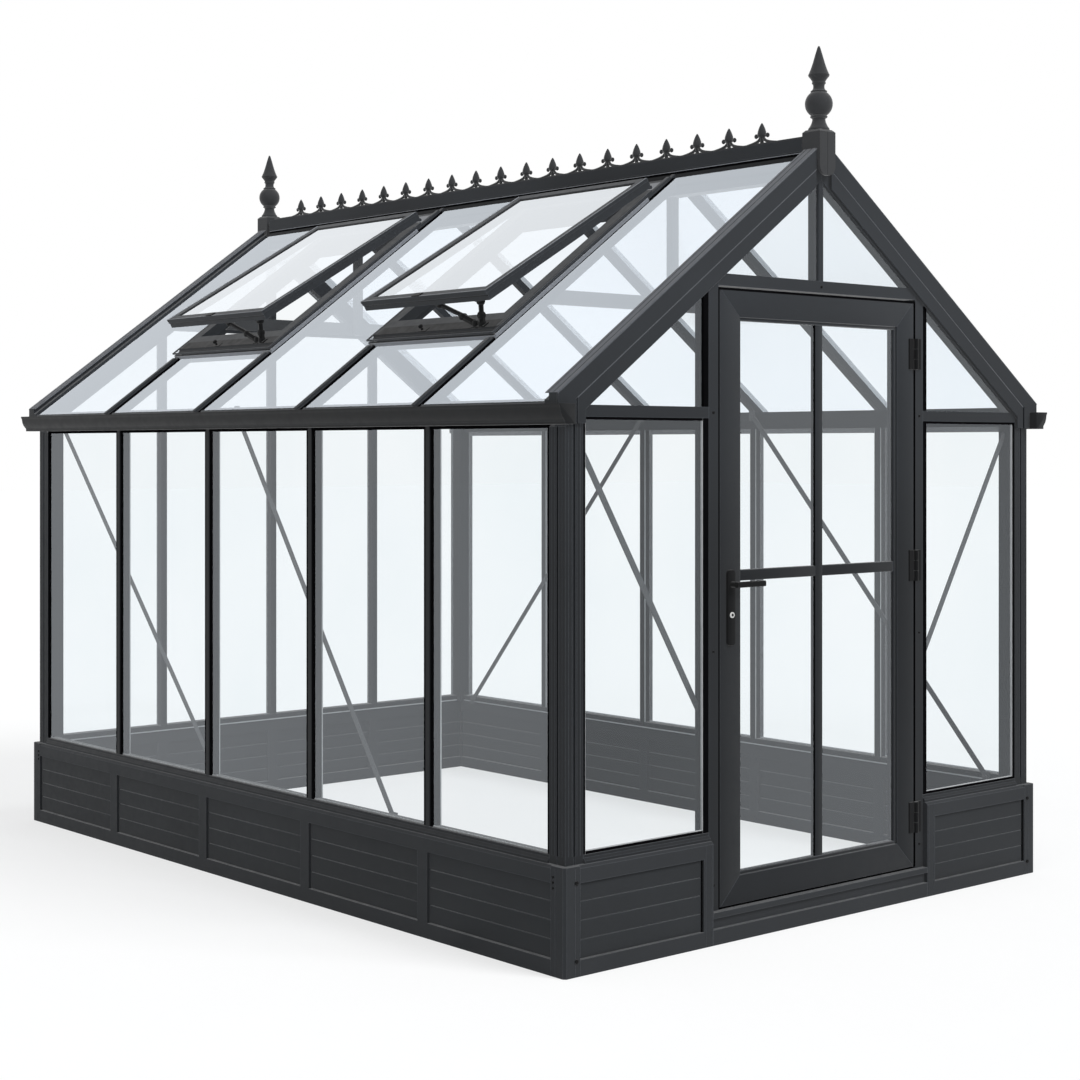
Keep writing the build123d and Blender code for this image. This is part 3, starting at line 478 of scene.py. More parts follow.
by_slot = {"frame_coat": coat, "base_frame": base_coat, "base_boards": board_coat, "crest": crest_coat,
           "black_fittings": black, "braces": brace_coat, "lock_metal": steel, "glass": wall_glass}
by_node = {"left_roof_glass": roof_glass, "right_roof_glass": roof_glass, "vent_glass": vent_pane,
           "front_gable_glass": gable_glass, "left_wall_bars": bar_coat_shaded, "right_wall_bars": bar_coat_shaded,
           "ridge": ridge_coat_shaded}
for name, node in nodes.items():
    material = by_node.get(name, by_slot[slot_of[name]])
    if not node.material_slots:
        node.data.materials.append(material)
    for place in node.material_slots:
        place.material = material


# -------- low base: boards in each panel
def board_panel(name, low, high):
    """One panel of boards, each with a rounded top edge that catches the light."""
    height = (high.z - low.z) / BOARDS_A_PANEL
    first = slab(name, low, (high.x, high.y, low.z + height))
    bevelled(first, BOARD_EDGE, 2,
             lambda e: abs(middle(e).z - low.z) < 1e-5 or abs(middle(e).z - low.z - height) < 1e-5)
    boards = [first] + [copied(first, name, (0, 0, height * i)) for i in range(1, BOARDS_A_PANEL)]
    return joined(name, boards)


for node in ("side_base_boards", "gable_base_boards"):
    panels = [board_panel(f"{node}_panel_{i}", low, high) for i, (low, high) in enumerate(solids(node))]
    boards = joined(node + "_planked", panels)
    placed(boards, board_coat, smooth=40)
    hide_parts(node)


# -------- door frame with mitred corners
def mitred(piece, axis, at, corner_axis, limits):
    """Draws the inner corners of a bar inwards, so that its ends are cut at 45 degrees."""
    for limit, move in limits:
        edit(piece, "VERT", lambda v: abs(v.co[axis] - at) < 1e-4 and abs(v.co[corner_axis] - limit) < 1e-4)
        bpy.ops.transform.translate(value=[move if i == corner_axis else 0 for i in range(3)])
        done(piece)
    return bevelled(piece, MITRE_EDGE, 2)


def door_piece():
    low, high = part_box("door_frame")
    left, right = low.x + DOOR_RAIL, high.x - DOOR_RAIL
    foot, head = low.z + DOOR_RAIL, high.z - DOOR_RAIL
    stile = slab("door_stile", low, (left, high.y, high.z))
    mitred(stile, 0, left, 2, ((high.z, -DOOR_RAIL), (low.z, DOOR_RAIL)))
    members = [stile, copied(stile, "door_stile_right", matrix=mirror(-1))]
    rail = slab("door_rail", low, (high.x, high.y, foot))
    mitred(rail, 2, foot, 0, ((low.x, DOOR_RAIL), (high.x, -DOOR_RAIL)))
    flip = Matrix.Translation((0, 0, low.z + high.z)) @ mirror(z=-1)
    members += [rail, copied(rail, "door_rail_top", matrix=flip)]
    mid_y = (low.y + high.y) / 2
    y0, y1 = mid_y - DOOR_BAR_DEPTH / 2, mid_y + DOOR_BAR_DEPTH / 2
    half = DOOR_BAR / 2
    members.append(bevelled(slab("door_bar_up", (-half, y0, foot), (half, y1, head)), 0.004, 2))
    for side in (-1, 1):
        x0, x1 = ordered(side, half, right)
        bar = slab("door_bar_cross", (x0, y0, DOOR_BAR_HEIGHT - half), (x1, y1, DOOR_BAR_HEIGHT + half))
        members.append(bevelled(bar, 0.004, 2))
    for y_face, y_pane in ((low.y + BEAD_SET_IN, mid_y - DOOR_GLASS_HALF),
                           (mid_y + DOOR_GLASS_HALF, high.y - BEAD_SET_IN)):
        for x0, z0, x1, z1 in ((left, foot, right, foot + DOOR_BEAD), (left, head - DOOR_BEAD, right, head),
                               (left, foot, left + DOOR_BEAD, head), (right - DOOR_BEAD, foot, right, head)):
            members.append(bevelled(slab("door_bead", (x0, y_face, z0), (x1, y_pane, z1)), 0.003, 2))
    return joined("door_frame_mitred", members)


door = placed(door_piece(), coat, "door", smooth=35)
door_low, door_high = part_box("door_frame")
sides = []
bar_y = (door_low.y + door_high.y) / 2 - DOOR_BAR_DEPTH / 2 + 0.0035
for side in (-1, 1):
    x = ordered(side, DOOR_BAR / 2 - 0.001, DOOR_BAR / 2 + 0.0009)
    for z in ((door_low.z + DOOR_RAIL, DOOR_BAR_HEIGHT - DOOR_BAR / 2),
              (DOOR_BAR_HEIGHT + DOOR_BAR / 2, door_high.z - DOOR_RAIL)):
        sides.append(strip("door_bar_gasket", x, (bar_y, bar_y + DOOR_BAR_DEPTH - 0.007), z, 0))
placed(joined("door_bar_gaskets", sides), rubber_and_shade, "door")

plates = []
for low, high in solids("handle_plates"):
    plate = slab("handle_plate", low, high)
    bevelled(plate, 0.012, 6, lambda e: abs(e.verts[0].co.y - e.verts[1].co.y) > 0.004)
    outside = low.y if low.y < -1.6 else high.y
    bevelled(plate, 0.002, 2, lambda e: all(abs(v.co.y - outside) < 1e-5 for v in e.verts))
    plates.append(plate)
plates = placed(joined("handle_plates_rounded", plates), black, "door", smooth=40)
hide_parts("handle_plates")
lock_low, lock_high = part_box("door_lock")
lock_mid = (lock_low + lock_high) / 2
# black discs on the lock faces: painted shade in the key holes
keyways = [pin("keyway", (lock_mid.x, y, lock_mid.z), (0, way, 0), KEYWAY_RADIUS, 0.0006)
           for y, way in ((lock_low.y + 0.0002, -1), (lock_high.y - 0.0002, 1))]
placed(joined("lock_keyways", keyways), rubber_and_shade, "door")
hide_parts("door_frame")


# -------- gaskets of the glazed walls
def foot_seals(node, name):
    """A pale strip along the foot of each pane."""
    strips = []
    for low, high in solids(node):
        out = 1 if high.x - low.x > high.y - low.y else 0
        side = 1 if low[out] + high[out] > 0 else -1
        face = high[out] if side > 0 else low[out]
        a, b = low.copy(), high.copy()
        a[out], b[out] = face, face + side * SEAL
        b.z = a.z + SEAL
        strips.append(strip(name, *zip(a, b), 0.001))
    return placed(joined(name, strips), pale_seal_and_highlight)


def bar_gaskets(node):
    """Black rubber down both sides of each wall bar, reaching wider than on the roof bars as painted shade on
    the bar's sides, and a pale lip at its inner end as a painted highlight.
    """
    black_strips, pale_strips = [], []
    for low, high in solids(node):
        side = 1 if low.x > 0 else -1
        face = side * max(abs(low.x), abs(high.x))
        mid, z = (low.y + high.y) / 2, (low.z, high.z)
        for way in (-1, 1):
            y = (mid + way * CAP_HALF, mid + way * WALL_GASKET_SHADE_REACH)
            black_strips.append(strip("gasket", (face - side * 0.002, face - side * WALL_GASKET_SHADE_DEPTH), y, z))
            y = (mid + way * BOX_HALF, mid + way * (BOX_HALF + 0.0012))
            x = (face - side * BAR_DEPTH, face - side * (BAR_DEPTH - 0.004))
            pale_strips.append(strip("gasket_lip", x, y, z, 0))
    placed(joined(node + "_gaskets", black_strips), rubber_and_shade)
    placed(joined(node + "_lips", pale_strips), pale_seal_and_highlight)


def sill_seal():
    """The pale line round the inside, where the glazed frame stands on the base."""
    low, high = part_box("sills")
    inner_x, inner_y = high.x - SILL_DEPTH, high.y - SILL_DEPTH
    post_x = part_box("door_posts")[1].x
    runs = [((-inner_x, inner_x), (inner_y - 0.002, inner_y))]
    for side in (1, -1):
        runs = [(ordered(side, inner_x, inner_x - 0.002), (-inner_y, inner_y)),
                (ordered(side, post_x, inner_x), (-inner_y, -inner_y + 0.002))] + runs
    strips = [strip("sill_seal", x, y, (low.z, low.z + 0.005), 0.0006) for x, y in runs]
    return placed(joined("inner_sill_seal", strips), pale_seal_and_highlight)


for wall in ("left_wall", "right_wall"):
    foot_seals(wall + "_glass", wall + "_seals")
for node in ("left_wall_bars", "right_wall_bars"):
    bar_gaskets(node)
sill_seal()

# -------- cresting and finials
CREST_RAIL = 0.008
SPIKE_HEIGHT = 0.074
LONGEST_SPIKE = 0.5
LEAF_REACH = 0.0258
LEAF_RADIUS = 0.0075
NECK_RADIUS = 0.0042
STRUT_RADIUS = 0.0053
SPIKE_PROFILE = [(0.0065, CREST_RAIL - 0.001), (0.0062, 0.018), (0.0085, 0.026), (0.0152, 0.031),
                 (0.0156, 0.036), (0.0137, 0.047), (0.0104, 0.057), (0.0060, 0.067), (0.0018, SPIKE_HEIGHT)]
NECK_PATH = ((0.006, 0.03), (0.014, 0.031), (0.022, 0.032))
STRUT_PATH = ((0.0055, 0.027), (0.0095, 0.0205), (0.017, 0.0145), (0.029, 0.0105), (0.048, 0.0062),
              (0.074, 0.0026))


def crest_spike(foot):
    """One cast spike: pointed head, a ball leaf at each side, stem, and two struts that run into the rail."""
    base = Vector(foot)
    parts = [turned("spike_head", base, SPIKE_PROFILE, 8)]
    for side in (-1, 1):
        deselect()
        spot = base + Vector((0, side * LEAF_REACH, 0.032))
        bpy.ops.mesh.primitive_uv_sphere_add(segments=10, ring_count=6, radius=LEAF_RADIUS, location=spot,
                                             scale=(0.8, 1, 1.1))
        parts.append(settle(bpy.context.object))
        for name, path, radius in (("spike_neck", NECK_PATH, NECK_RADIUS),
                                   ("spike_strut", STRUT_PATH, STRUT_RADIUS)):
            parts.append(swept(name, [base + Vector((0, side * y, z)) for y, z in path], radius))
    return joined("spike", parts)


crest_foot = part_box("ridge_cresting")[0].z
crest_solids = solids("ridge_cresting")
rail_low, rail_high = max(crest_solids, key=lambda b: b[1].y - b[0].y)
rail = bevelled(slab("crest_rail", rail_low, (rail_high.x, rail_high.y, rail_low.z + CREST_RAIL)),
                0.002, 2, lambda e: middle(e).z > crest_foot + CREST_RAIL / 2)
places = [(low.y + high.y) / 2 for low, high in crest_solids if high.y - low.y < LONGEST_SPIKE]
model = crest_spike((0, places[0], crest_foot))
crest = [rail, model] + [copied(model, "spike", (0, y - places[0], 0)) for y in places[1:]]
crest = placed(joined("crest_of_spikes", crest), crest_coat, smooth=50)
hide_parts("ridge_cresting")

BALL_RADIUS = 0.0452
BALL_HEIGHT = 0.0865
FINIAL_PROFILE = [(0.0345, 0.0), (0.035, 0.0035), (0.034, 0.007), (0.031, 0.010), (0.0265, 0.018),
                  (0.0228, 0.027), (0.0212, 0.035), (0.0222, 0.0395), (0.0272, 0.042), (0.0282, 0.0445),
                  (0.0272, 0.047), (0.0245, 0.0485)]
FINIAL_PROFILE += [(BALL_RADIUS * cos(radians(9 * i)), BALL_HEIGHT + BALL_RADIUS * sin(radians(9 * i)))
                   for i in range(-6, 7)]
FINIAL_PROFILE += [(0.0252, 0.1235), (0.0268, 0.1255), (0.0268, 0.1285), (0.0222, 0.131), (0.0186, 0.137),
                   (0.0182, 0.145), (0.0196, 0.1505), (0.0225, 0.1525), (0.0225, 0.156), (0.021, 0.1585),
                   (0.0226, 0.162), (0.028, 0.170), (0.0335, 0.1765), (0.0348, 0.1805), (0.0325, 0.185),
                   (0.0262, 0.200), (0.0198, 0.219), (0.0138, 0.240), (0.0078, 0.260), (0.0052, 0.2685),
                   (0.0025, 0.2745)]
FINIAL_HEIGHT = 0.275
BLOCK = 0.076
BLOCK_CHAMFER = 0.008
SADDLE_DROP = 0.12
PLATE_DEPTH = 0.010
PLATE_DROP = 0.150
PLATE_ROUND = 0.034


def cut_above(piece, point, normal):
    """Keeps what lies on the side that the normal points to, and closes the cut."""
    edit(piece, "FACE", lambda f: True)
    bpy.ops.mesh.bisect(plane_co=point, plane_no=normal, use_fill=True, clear_inner=True)
    return done(piece)


def ridge_end():
    """The finial over the door gable: turned spire, chamfered saddle in two halves, round-ended plate."""
    low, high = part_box("finials")
    top = high.z - FINIAL_HEIGHT
    front, back = low.y, low.y + BLOCK
    face = front + PLATE_DEPTH
    parts = [turned("finial_spire", (0, (front + back) / 2, top - 0.001), FINIAL_PROFILE)]
    for side in (-1, 1):
        x0, x1 = ordered(side, 0, BLOCK / 2)
        saddle = slab("finial_saddle", (x0, face, top - SADDLE_DROP), (x1, back, top))
        cut_above(saddle, (0, 0, ROOF_CROWN + GLASS_TOP / SLOPE), (side * sin(ROOF_PITCH), 0, SLOPE))
        bevelled(saddle, BLOCK_CHAMFER, 1, lambda e: middle(e).z > top - 1e-4 and (
            abs(middle(e).x) > 0.03 or middle(e).y > back - 1e-4))
        plate = slab("finial_plate", (x0, front, top - PLATE_DROP), (x1, face, top))
        bevelled(plate, BLOCK_CHAMFER, 1, lambda e: middle(e).z > top - 1e-4 and (
            abs(middle(e).x) > 0.03 or middle(e).y < front + 1e-4))
        bevelled(plate, PLATE_ROUND, 9,
                 lambda e: middle(e).z < top - PLATE_DROP + 1e-4 and abs(middle(e).x) > 0.03)
        bevelled(plate, 0.0014, 1, lambda e: abs(middle(e).x) < 1e-4 and middle(e).y < front + 1e-4)
        parts += [saddle, plate]
    return joined("finial_front", parts)


door_end = placed(ridge_end(), crest_coat, smooth=32)
back_end = copied(door_end, "finial_back", matrix=mirror(1, -1))
placed(back_end, crest_coat, smooth=32)
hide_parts("finials")
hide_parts("finials")

# -------- roof: bar gaskets and eave capping
EAVE = 1.150 / SLOPE
for side, word in ((-1, "left"), (1, "right")):
    on_roof = roof_frame(side)
    strips = []
    for low, high in solids(word + "_roof_bars"):
        mid = (low.y + high.y) / 2
        for way in (-1, 1):
            y = (mid + way * CAP_HALF, mid + way * GASKET_REACH)
            gasket = strip("roof_gasket", (0.036, EAVE - 0.001), y, (GLASS_TOP, CAP_TOP - 0.003))
            strips.append(laid(gasket, on_roof))
    placed(joined(word + "_roof_gaskets", strips), rubber_and_shade)
    y = [corner.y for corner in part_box(word + "_roof_glass")]
    parts = [strip("eave_cap", (EAVE - 0.024, EAVE + 0.0035), y, (GLASS_TOP, GLASS_TOP + 0.003)),
             strip("eave_lip", (EAVE, EAVE + 0.0035), y, (GLASS_TOP - 0.014, GLASS_TOP + 0.0005)),
             strip("eave_bead", (EAVE - 0.026, EAVE - 0.022), y, (GLASS_TOP, GLASS_TOP + 0.005))]
    parts = [laid(piece, on_roof) for piece in parts]
    placed(joined(word + "_eave_capping", parts), coat)

# -------- roof vents
CURB_TOP = 0.048
CURB_HALF = 0.344
CURB_FOOT = 0.830 / SLOPE
CURB_HEAD = 0.151 / SLOPE
CURB_BAR = 0.7975 / SLOPE
SASH_HALF = 0.338
SASH_LENGTH = 0.672 / SLOPE
SASH_DEPTH = 0.036
SASH_RAIL = 0.030
HINGE_X = 0.150
HINGE_OVER = 0.0543
SASH_PITCH = ROOF_PITCH - radians(5.5)
SASH_LIP = 0.0375
CURB_LIP = (0.0435, 0.049)
PLATE_TOP = 0.0215
KNOB_PROFILE = [(0.006, 0), (0.0045, 0.004), (0.0045, 0.007), (0.0085, 0.010), (0.0095, 0.014),
                (0.008, 0.018), (0.004, 0.020)]
# where each stay arm stands on the curb and meets the sash, from the vent's middle, and how thick it is
STAY_ARMS = ((-0.225, -0.060, 0.0080), (-0.255, -0.270, 0.0085))
hinge_z = ROOF_CROWN - HINGE_X * tan(ROOF_PITCH) + HINGE_OVER / SLOPE


def vent_fittings(mid):
    """Flashing, weather lips, stay arms, knob and clip of a raised vent: dark, pale and black pieces, some
    black ones painted shade and shadow, some pale ones painted highlight.
    """
    curb = roof_frame(-1)
    sash = roof_frame(-1, SASH_PITCH, (-HINGE_X, 0, hinge_z))
    low, high = mid - CURB_HALF, mid + CURB_HALF
    left, right = mid - SASH_HALF, mid + SASH_HALF
    dark, pale, black = [], [], []

    def fit(group, base, name, x, y, z, edge=0.0008):
        """A strip on the curb or on the sash."""
        group.append(laid(strip(name, x, y, z, edge), base))

    groove = (CURB_TOP, CURB_TOP + 0.0004)
    # a black strip over the inner part of the curb's foot bar: painted shadow
    fit(black, curb, "curb_pad", (0.770 / SLOPE, 0.806 / SLOPE), (low + 0.022, high - 0.022),
        (CURB_TOP, 0.0486), 0.0002)
    # thin black lines along the curb: painted shade in its grooves
    ends = (low + 0.007, high - 0.007)
    for y in ends:
        side = (y - 0.0018, y + 0.0018)
        fit(black, curb, "curb_groove", (CURB_HEAD, CURB_FOOT - 0.002), side, groove, 0.0001)
    fit(black, curb, "curb_groove", (CURB_FOOT - 0.012, CURB_FOOT - 0.009), ends, groove, 0.0001)
    # pale flashing skirt under the curb, and the plate between the ridge and the hinge
    fit(pale, curb, "skirt_foot", (CURB_FOOT, CURB_FOOT + 0.003), (low, high), (0.020, 0.034))
    for a, b in ((low - 0.0025, low), (high, high + 0.0025)):
        fit(pale, curb, "skirt_side", (CURB_HEAD, CURB_FOOT), (a, b), (0.024, 0.037))
        fit(dark, curb, "curb_lip", (CURB_HEAD, CURB_FOOT + 0.002), (a - 0.001, b + 0.001), CURB_LIP)
    fit(pale, curb, "ridge_plate", (0.046, CURB_HEAD - 0.004), (mid - 0.309, mid + 0.309),
        (GLASS_TOP, PLATE_TOP))
    fit(dark, curb, "curb_lip", (CURB_FOOT - 0.002, CURB_FOOT + 0.0035), (low, high), CURB_LIP)
    fit(black, curb, "curb_shadow", (CURB_FOOT, CURB_FOOT + 0.0012), (low, high), (0.034, 0.0375))
    for step in (-0.22, 0.0, 0.22):
        black.append(laid(screw_head("plate_bolt", (0.118, mid + step, PLATE_TOP), (0, 0, 1), 0.006), curb))
    # pale strips along the top edges of the sash: painted highlight
    edge = (SASH_DEPTH, SASH_DEPTH + 0.0018)
    for way in (-1, 1):
        ends = (mid + way * (SASH_HALF + 0.0005), mid + way * (SASH_HALF - 0.0025))
        fit(pale, sash, "sash_edge", (0.006, SASH_LENGTH), ends, edge, 0.0004)
    fit(pale, sash, "sash_edge", (SASH_LENGTH - 0.001, SASH_LENGTH + 0.0015), (left, right), edge, 0.0004)
    # weather lips and black shadow gaps round the sash
    fit(dark, sash, "sash_lip_foot", (SASH_LENGTH, SASH_LENGTH + 0.004), (left, right), (0.020, SASH_LIP))
    fit(black, sash, "sash_gap", (SASH_LENGTH, SASH_LENGTH + 0.001), (left, right), (0.0165, 0.020))
    bead = (0.0285, 0.0325)
    for way in (-1, 1):
        ends = (mid + way * SASH_HALF, mid + way * (SASH_HALF + 0.003))
        fit(dark, sash, "sash_lip_side", (0.004, SASH_LENGTH + 0.004), ends, (0.026, SASH_LIP))
        ends = (mid + way * (SASH_HALF - SASH_RAIL), mid + way * (SASH_HALF - SASH_RAIL - 0.004))
        fit(black, sash, "sash_bead", (SASH_RAIL, SASH_LENGTH - SASH_RAIL), ends, bead)
    fit(black, sash, "sash_bead", (SASH_RAIL, SASH_RAIL + 0.004), (left + SASH_RAIL, right - SASH_RAIL), bead)
    fit(black, sash, "sash_clip", (SASH_LENGTH - 0.022, SASH_LENGTH + 0.003), (mid + 0.010, mid + 0.052),
        (SASH_DEPTH, 0.0405), 0.0015)
    # knob and its plate on the curb
    fit(black, curb, "knob_plate", (CURB_BAR - 0.012, CURB_BAR + 0.012), (mid + 0.040, mid + 0.098),
        (CURB_TOP, 0.0505))
    black.append(laid(turned("knob", (CURB_BAR, mid + 0.069, CURB_TOP + 0.002), KNOB_PROFILE, 14), curb))
    # stay arms: a long peg arm and a short, thick one, each on a bracket and a knuckle
    for foot_step, head_step, radius in STAY_ARMS:
        foot_y, head_y = mid + foot_step, mid + head_step
        foot = curb @ Vector((CURB_BAR, foot_y, CURB_TOP + 0.010))
        head = sash @ Vector((SASH_LENGTH - 0.015, head_y, -0.008))
        third = foot.lerp(head, 0.36)
        bend = third + Vector((0, 0, 0.004))
        black.append(swept("stay_arm", [foot, bend, foot.lerp(head, 0.7), head], radius))
        black.append(swept("stay_sleeve", [foot.lerp(head, 0.08), third], radius + 0.0035))
        for spot in (foot, third, head):
            black.append(pin("stay_knuckle", spot - Vector((0.010, 0, 0)), (1, 0, 0), radius + 0.004, 0.020))
        fit(black, curb, "stay_foot", (CURB_BAR - 0.014, CURB_BAR + 0.014), (foot_y - 0.018, foot_y + 0.018),
            (CURB_TOP, CURB_TOP + 0.006), 0.0015)
        fit(black, sash, "stay_head", (SASH_LENGTH - 0.027, SASH_LENGTH - 0.003),
            (head_y - 0.016, head_y + 0.016), (-0.004, 0.0), 0.001)
    return dark, pale, black


groups = [], [], []
for low, high in solids("vent_glass"):
    for group, pieces in zip(groups, vent_fittings((low.y + high.y) / 2)):
        group += pieces
placed(joined("vent_weather_lips", groups[0]), coat, smooth=35)
placed(joined("vent_flashing", groups[1]), flashing_and_highlight, smooth=35)
stays = placed(joined("vent_stay_arms", groups[2]), black, smooth=40)
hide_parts("vent_stays")


# -------- pieces of the corners and gables
def outline(name, points, depth):
    """A board cut to a closed outline drawn across the gable, standing on the drawing line."""
    deselect()
    bpy.ops.curve.primitive_bezier_circle_add(location=(0, 0, 0))
    curve = bpy.context.object
    curve.name = name
    curve.data.splines.remove(curve.data.splines[0])
    spline = curve.data.splines.new("POLY")
    spline.points.add(len(points) - 1)
    for point, (x, z) in zip(spline.points, points):
        point.co = (x, z, 0, 1)
    spline.use_cyclic_u = True
    curve.data.dimensions = "2D"
    curve.data.fill_mode = "BOTH"
    curve.data.extrude = depth / 2
    bpy.ops.object.convert(target="MESH")
    piece = settle(bpy.context.object)
    piece.data.transform(Matrix.Rotation(radians(90), 4, "X"))
    edit(piece, "FACE", lambda face: True)
    bpy.ops.mesh.remove_doubles(threshold=0.00001)
    bpy.ops.mesh.normals_make_consistent(inside=False)
    return done(piece)


def at_slope(x, out):
    """A point of a board's outline: the roof plane's height at x, moved out of the roof."""
    return x, ROOF_CROWN - x * tan(ROOF_PITCH) + out / SLOPE


def four_ways(pieces, name, material):
    """The pieces of one corner, copied to the other three."""
    every = list(pieces)
    for piece in pieces:
        every += [copied(piece, name, matrix=mirror(x, y)) for x, y in ((-1, 1), (1, -1), (-1, -1))]
    return placed(joined(name, every), material)


def on_gable(name, points, front, thick, edge=0.0):
    """A cut board on the back gable's outside, its outer face at a given depth."""
    board = outline(name, points, thick)
    board.data.transform(Matrix.Translation((0, front - thick / 2, 0)))
    if edge:
        bevelled(board, edge, 1, lambda e: middle(e).y > front - 1e-5)
    return board


# the top of each corner post, planed to the underside of its rafter
corner_head = slab("corner_head", (POST_IN, FRAME_Y - POST, BOARD_FOOT), (FRAME_X, FRAME_Y, 1.700))
cut_above(corner_head, (0, 0, ROOF_CROWN + RAFTER_UNDER / SLOPE), (-sin(ROOF_PITCH), 0, -SLOPE))
four_ways([bevelled(corner_head, 0.0008, 1)], "corner_heads", coat)

# -------- verge boards, gutters and post seams
VERGE_Y = 1.640
VERGE_START = 0.0375
VERGE_END = 1.151
VERGE_TOP = 0.0465
VERGE_STEP = -0.008
LOWER_TOP = -0.0105
SEAM_IN, SEAM_OUT = 1.0725, 1.0775
GUTTER_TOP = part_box("right_gutter")[1].z
upper = [at_slope(VERGE_START, VERGE_TOP), at_slope(VERGE_END, VERGE_TOP), (VERGE_END, GUTTER_TOP),
         (FRAME_X, GUTTER_TOP), (FRAME_X, BOARD_FOOT), (SEAM_OUT, BOARD_FOOT), at_slope(SEAM_OUT, VERGE_STEP),
         at_slope(VERGE_START, VERGE_STEP)]
lower = [at_slope(VERGE_START, LOWER_TOP), at_slope(SEAM_IN, LOWER_TOP), (SEAM_IN, BOARD_FOOT),
         (POST_IN, BOARD_FOOT), at_slope(POST_IN, RAFTER_UNDER), at_slope(VERGE_START, RAFTER_UNDER)]
line = [at_slope(VERGE_START, VERGE_STEP), at_slope(SEAM_IN, VERGE_STEP), at_slope(SEAM_IN, LOWER_TOP),
        at_slope(VERGE_START, LOWER_TOP)]
top_line = [at_slope(VERGE_START, VERGE_TOP), at_slope(VERGE_END, VERGE_TOP),
            at_slope(VERGE_END, VERGE_TOP - 0.0025), at_slope(VERGE_START, VERGE_TOP - 0.0025)]
boards = [on_gable("verge_board", upper, VERGE_Y + 0.005, 0.005, 0.0012),
          on_gable("verge_board", lower, VERGE_Y + 0.0028, 0.0028, 0.0010)]
four_ways(boards, "verge_boards", coat)
# pale lines between and on top of the verge boards: painted highlight
lines = [on_gable("verge_line", line, VERGE_Y + 0.0036, 0.0036),
         on_gable("verge_line", top_line, VERGE_Y + 0.0054, 0.0054)]
four_ways(lines, "verge_lines", highlight_line_coat)
# lighter strips on the rafters' top faces are painted light, and the black lines between them are painted
# shade in the grooves
tops, grooves = [], []
for side in (-1, 1):
    on_roof = roof_frame(side)
    for end in (-1, 1):
        for group, name, y0, y1, height in ((tops, "verge_top", 1.588, 1.6435, 0.0476),
                                            (grooves, "verge_groove", 1.600, 1.6018, 0.0479),
                                            (grooves, "verge_groove", 1.6235, 1.6253, 0.0479)):
            shift = height * sin(ROOF_PITCH)
            x = ((VERGE_START - shift) / SLOPE, (VERGE_END - 0.0005 - shift) / SLOPE)
            group.append(laid(strip(name, x, ordered(end, y0, y1), (0.0450, height), 0), on_roof))
placed(joined("verge_tops", tops), verge_top_light)
placed(joined("verge_grooves", grooves), rubber_and_shade)
# black strips in the corner posts' seams: painted shade
SEAM_DEEP, SEAM_PROUD = 0.003, 0.0008
seams = [slab("post_seam", (SEAM_IN, FRAME_Y - SEAM_DEEP, SILL_TOP),
              (SEAM_OUT, FRAME_Y - SEAM_PROUD, BOARD_FOOT)),
         slab("post_seam", (SEAM_IN, FRAME_Y - SEAM_DEEP, BOARD_FOOT),
              (SEAM_OUT, VERGE_Y + 0.0012, at_slope(SEAM_IN, -0.010)[1])),
         slab("post_seam", (FRAME_X - SEAM_DEEP, FRAME_Y - 0.0375, SILL_TOP),
              (FRAME_X - SEAM_PROUD, FRAME_Y - 0.0325, 1.597))]
four_ways(seams, "corner_post_seams", rubber_and_shade)
FLUTE_HALF = 0.0011
flutes = []
for step in (0.013, 0.026, 0.045, 0.058):
    x, y = FRAME_X - step, FRAME_Y - step
    flutes.append(slab("post_flute", (FRAME_X - 0.001, y - FLUTE_HALF, SILL_TOP),
                       (FRAME_X + 0.0012, y + FLUTE_HALF, 1.5965)))
    flutes.append(slab("post_flute", (x - FLUTE_HALF, FRAME_Y - 0.001, SILL_TOP),
                       (x + FLUTE_HALF, FRAME_Y + 0.0010, BOARD_FOOT)))
flutes = [bevelled(piece, 0.0007, 1, upright) for piece in flutes]
four_ways(flutes, "corner_post_flutes", coat)

gutter_low, gutter_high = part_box("right_gutter")
GUTTER_BACK = 0.060
GUTTER_WALL = 0.0025
OGEE = [(0.0, 0.060), (0.0, 0.054), (-0.0035, 0.051), (-0.0045, 0.044), (-0.0065, 0.034), (-0.0115, 0.023),
        (-0.0185, 0.0145), (-0.0225, 0.010), (-0.0225, 0.0)]
OGEE_INSIDE = [(-0.0255, 0.0025), (-0.0255, 0.011), (-0.0210, 0.0165), (-0.0140, 0.025), (-0.0090, 0.036),
               (-0.0070, 0.050), (-0.0040, 0.060)]


def on_gutter(points):
    """The points of a gutter's outline, from its outer lower corner."""
    return [(gutter_high.x + x, gutter_low.z + z) for x, z in points]


gx, gz, back = gutter_high.x, gutter_low.z, gutter_low.x
outer = on_gutter(OGEE) + [(back, gz)]
inner = [(back + GUTTER_WALL, gz + GUTTER_WALL)] + on_gutter(OGEE_INSIDE)
rim = [(back, gz + GUTTER_BACK), (back + GUTTER_WALL, gz + GUTTER_BACK)]
channel = outline("gutter", outer + rim + inner, gutter_high.y - gutter_low.y - 0.004)
ends = []
for end in (-1, 1):
    plate = outline("gutter_end", outer + rim[:1], 0.003)
    plate.data.transform(Matrix.Translation((0, end * (gutter_high.y - 0.0015), 0)))
    ends.append(bevelled(plate, 0.0006, 1))
bead = slab("gutter_bead", (gx - 0.0240, gutter_low.y + 0.003, gz + 0.0085),
            (gx - 0.0215, gutter_high.y - 0.003, gz + 0.0105))
right = joined("right_gutter_ogee", [channel, bead] + ends)
left = copied(right, "left_gutter_ogee", matrix=mirror(-1))
for piece, node in ((right, "right_gutter"), (left, "left_gutter")):
    placed(piece, gutter_coat_shaded, smooth=50)
    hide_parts(node)

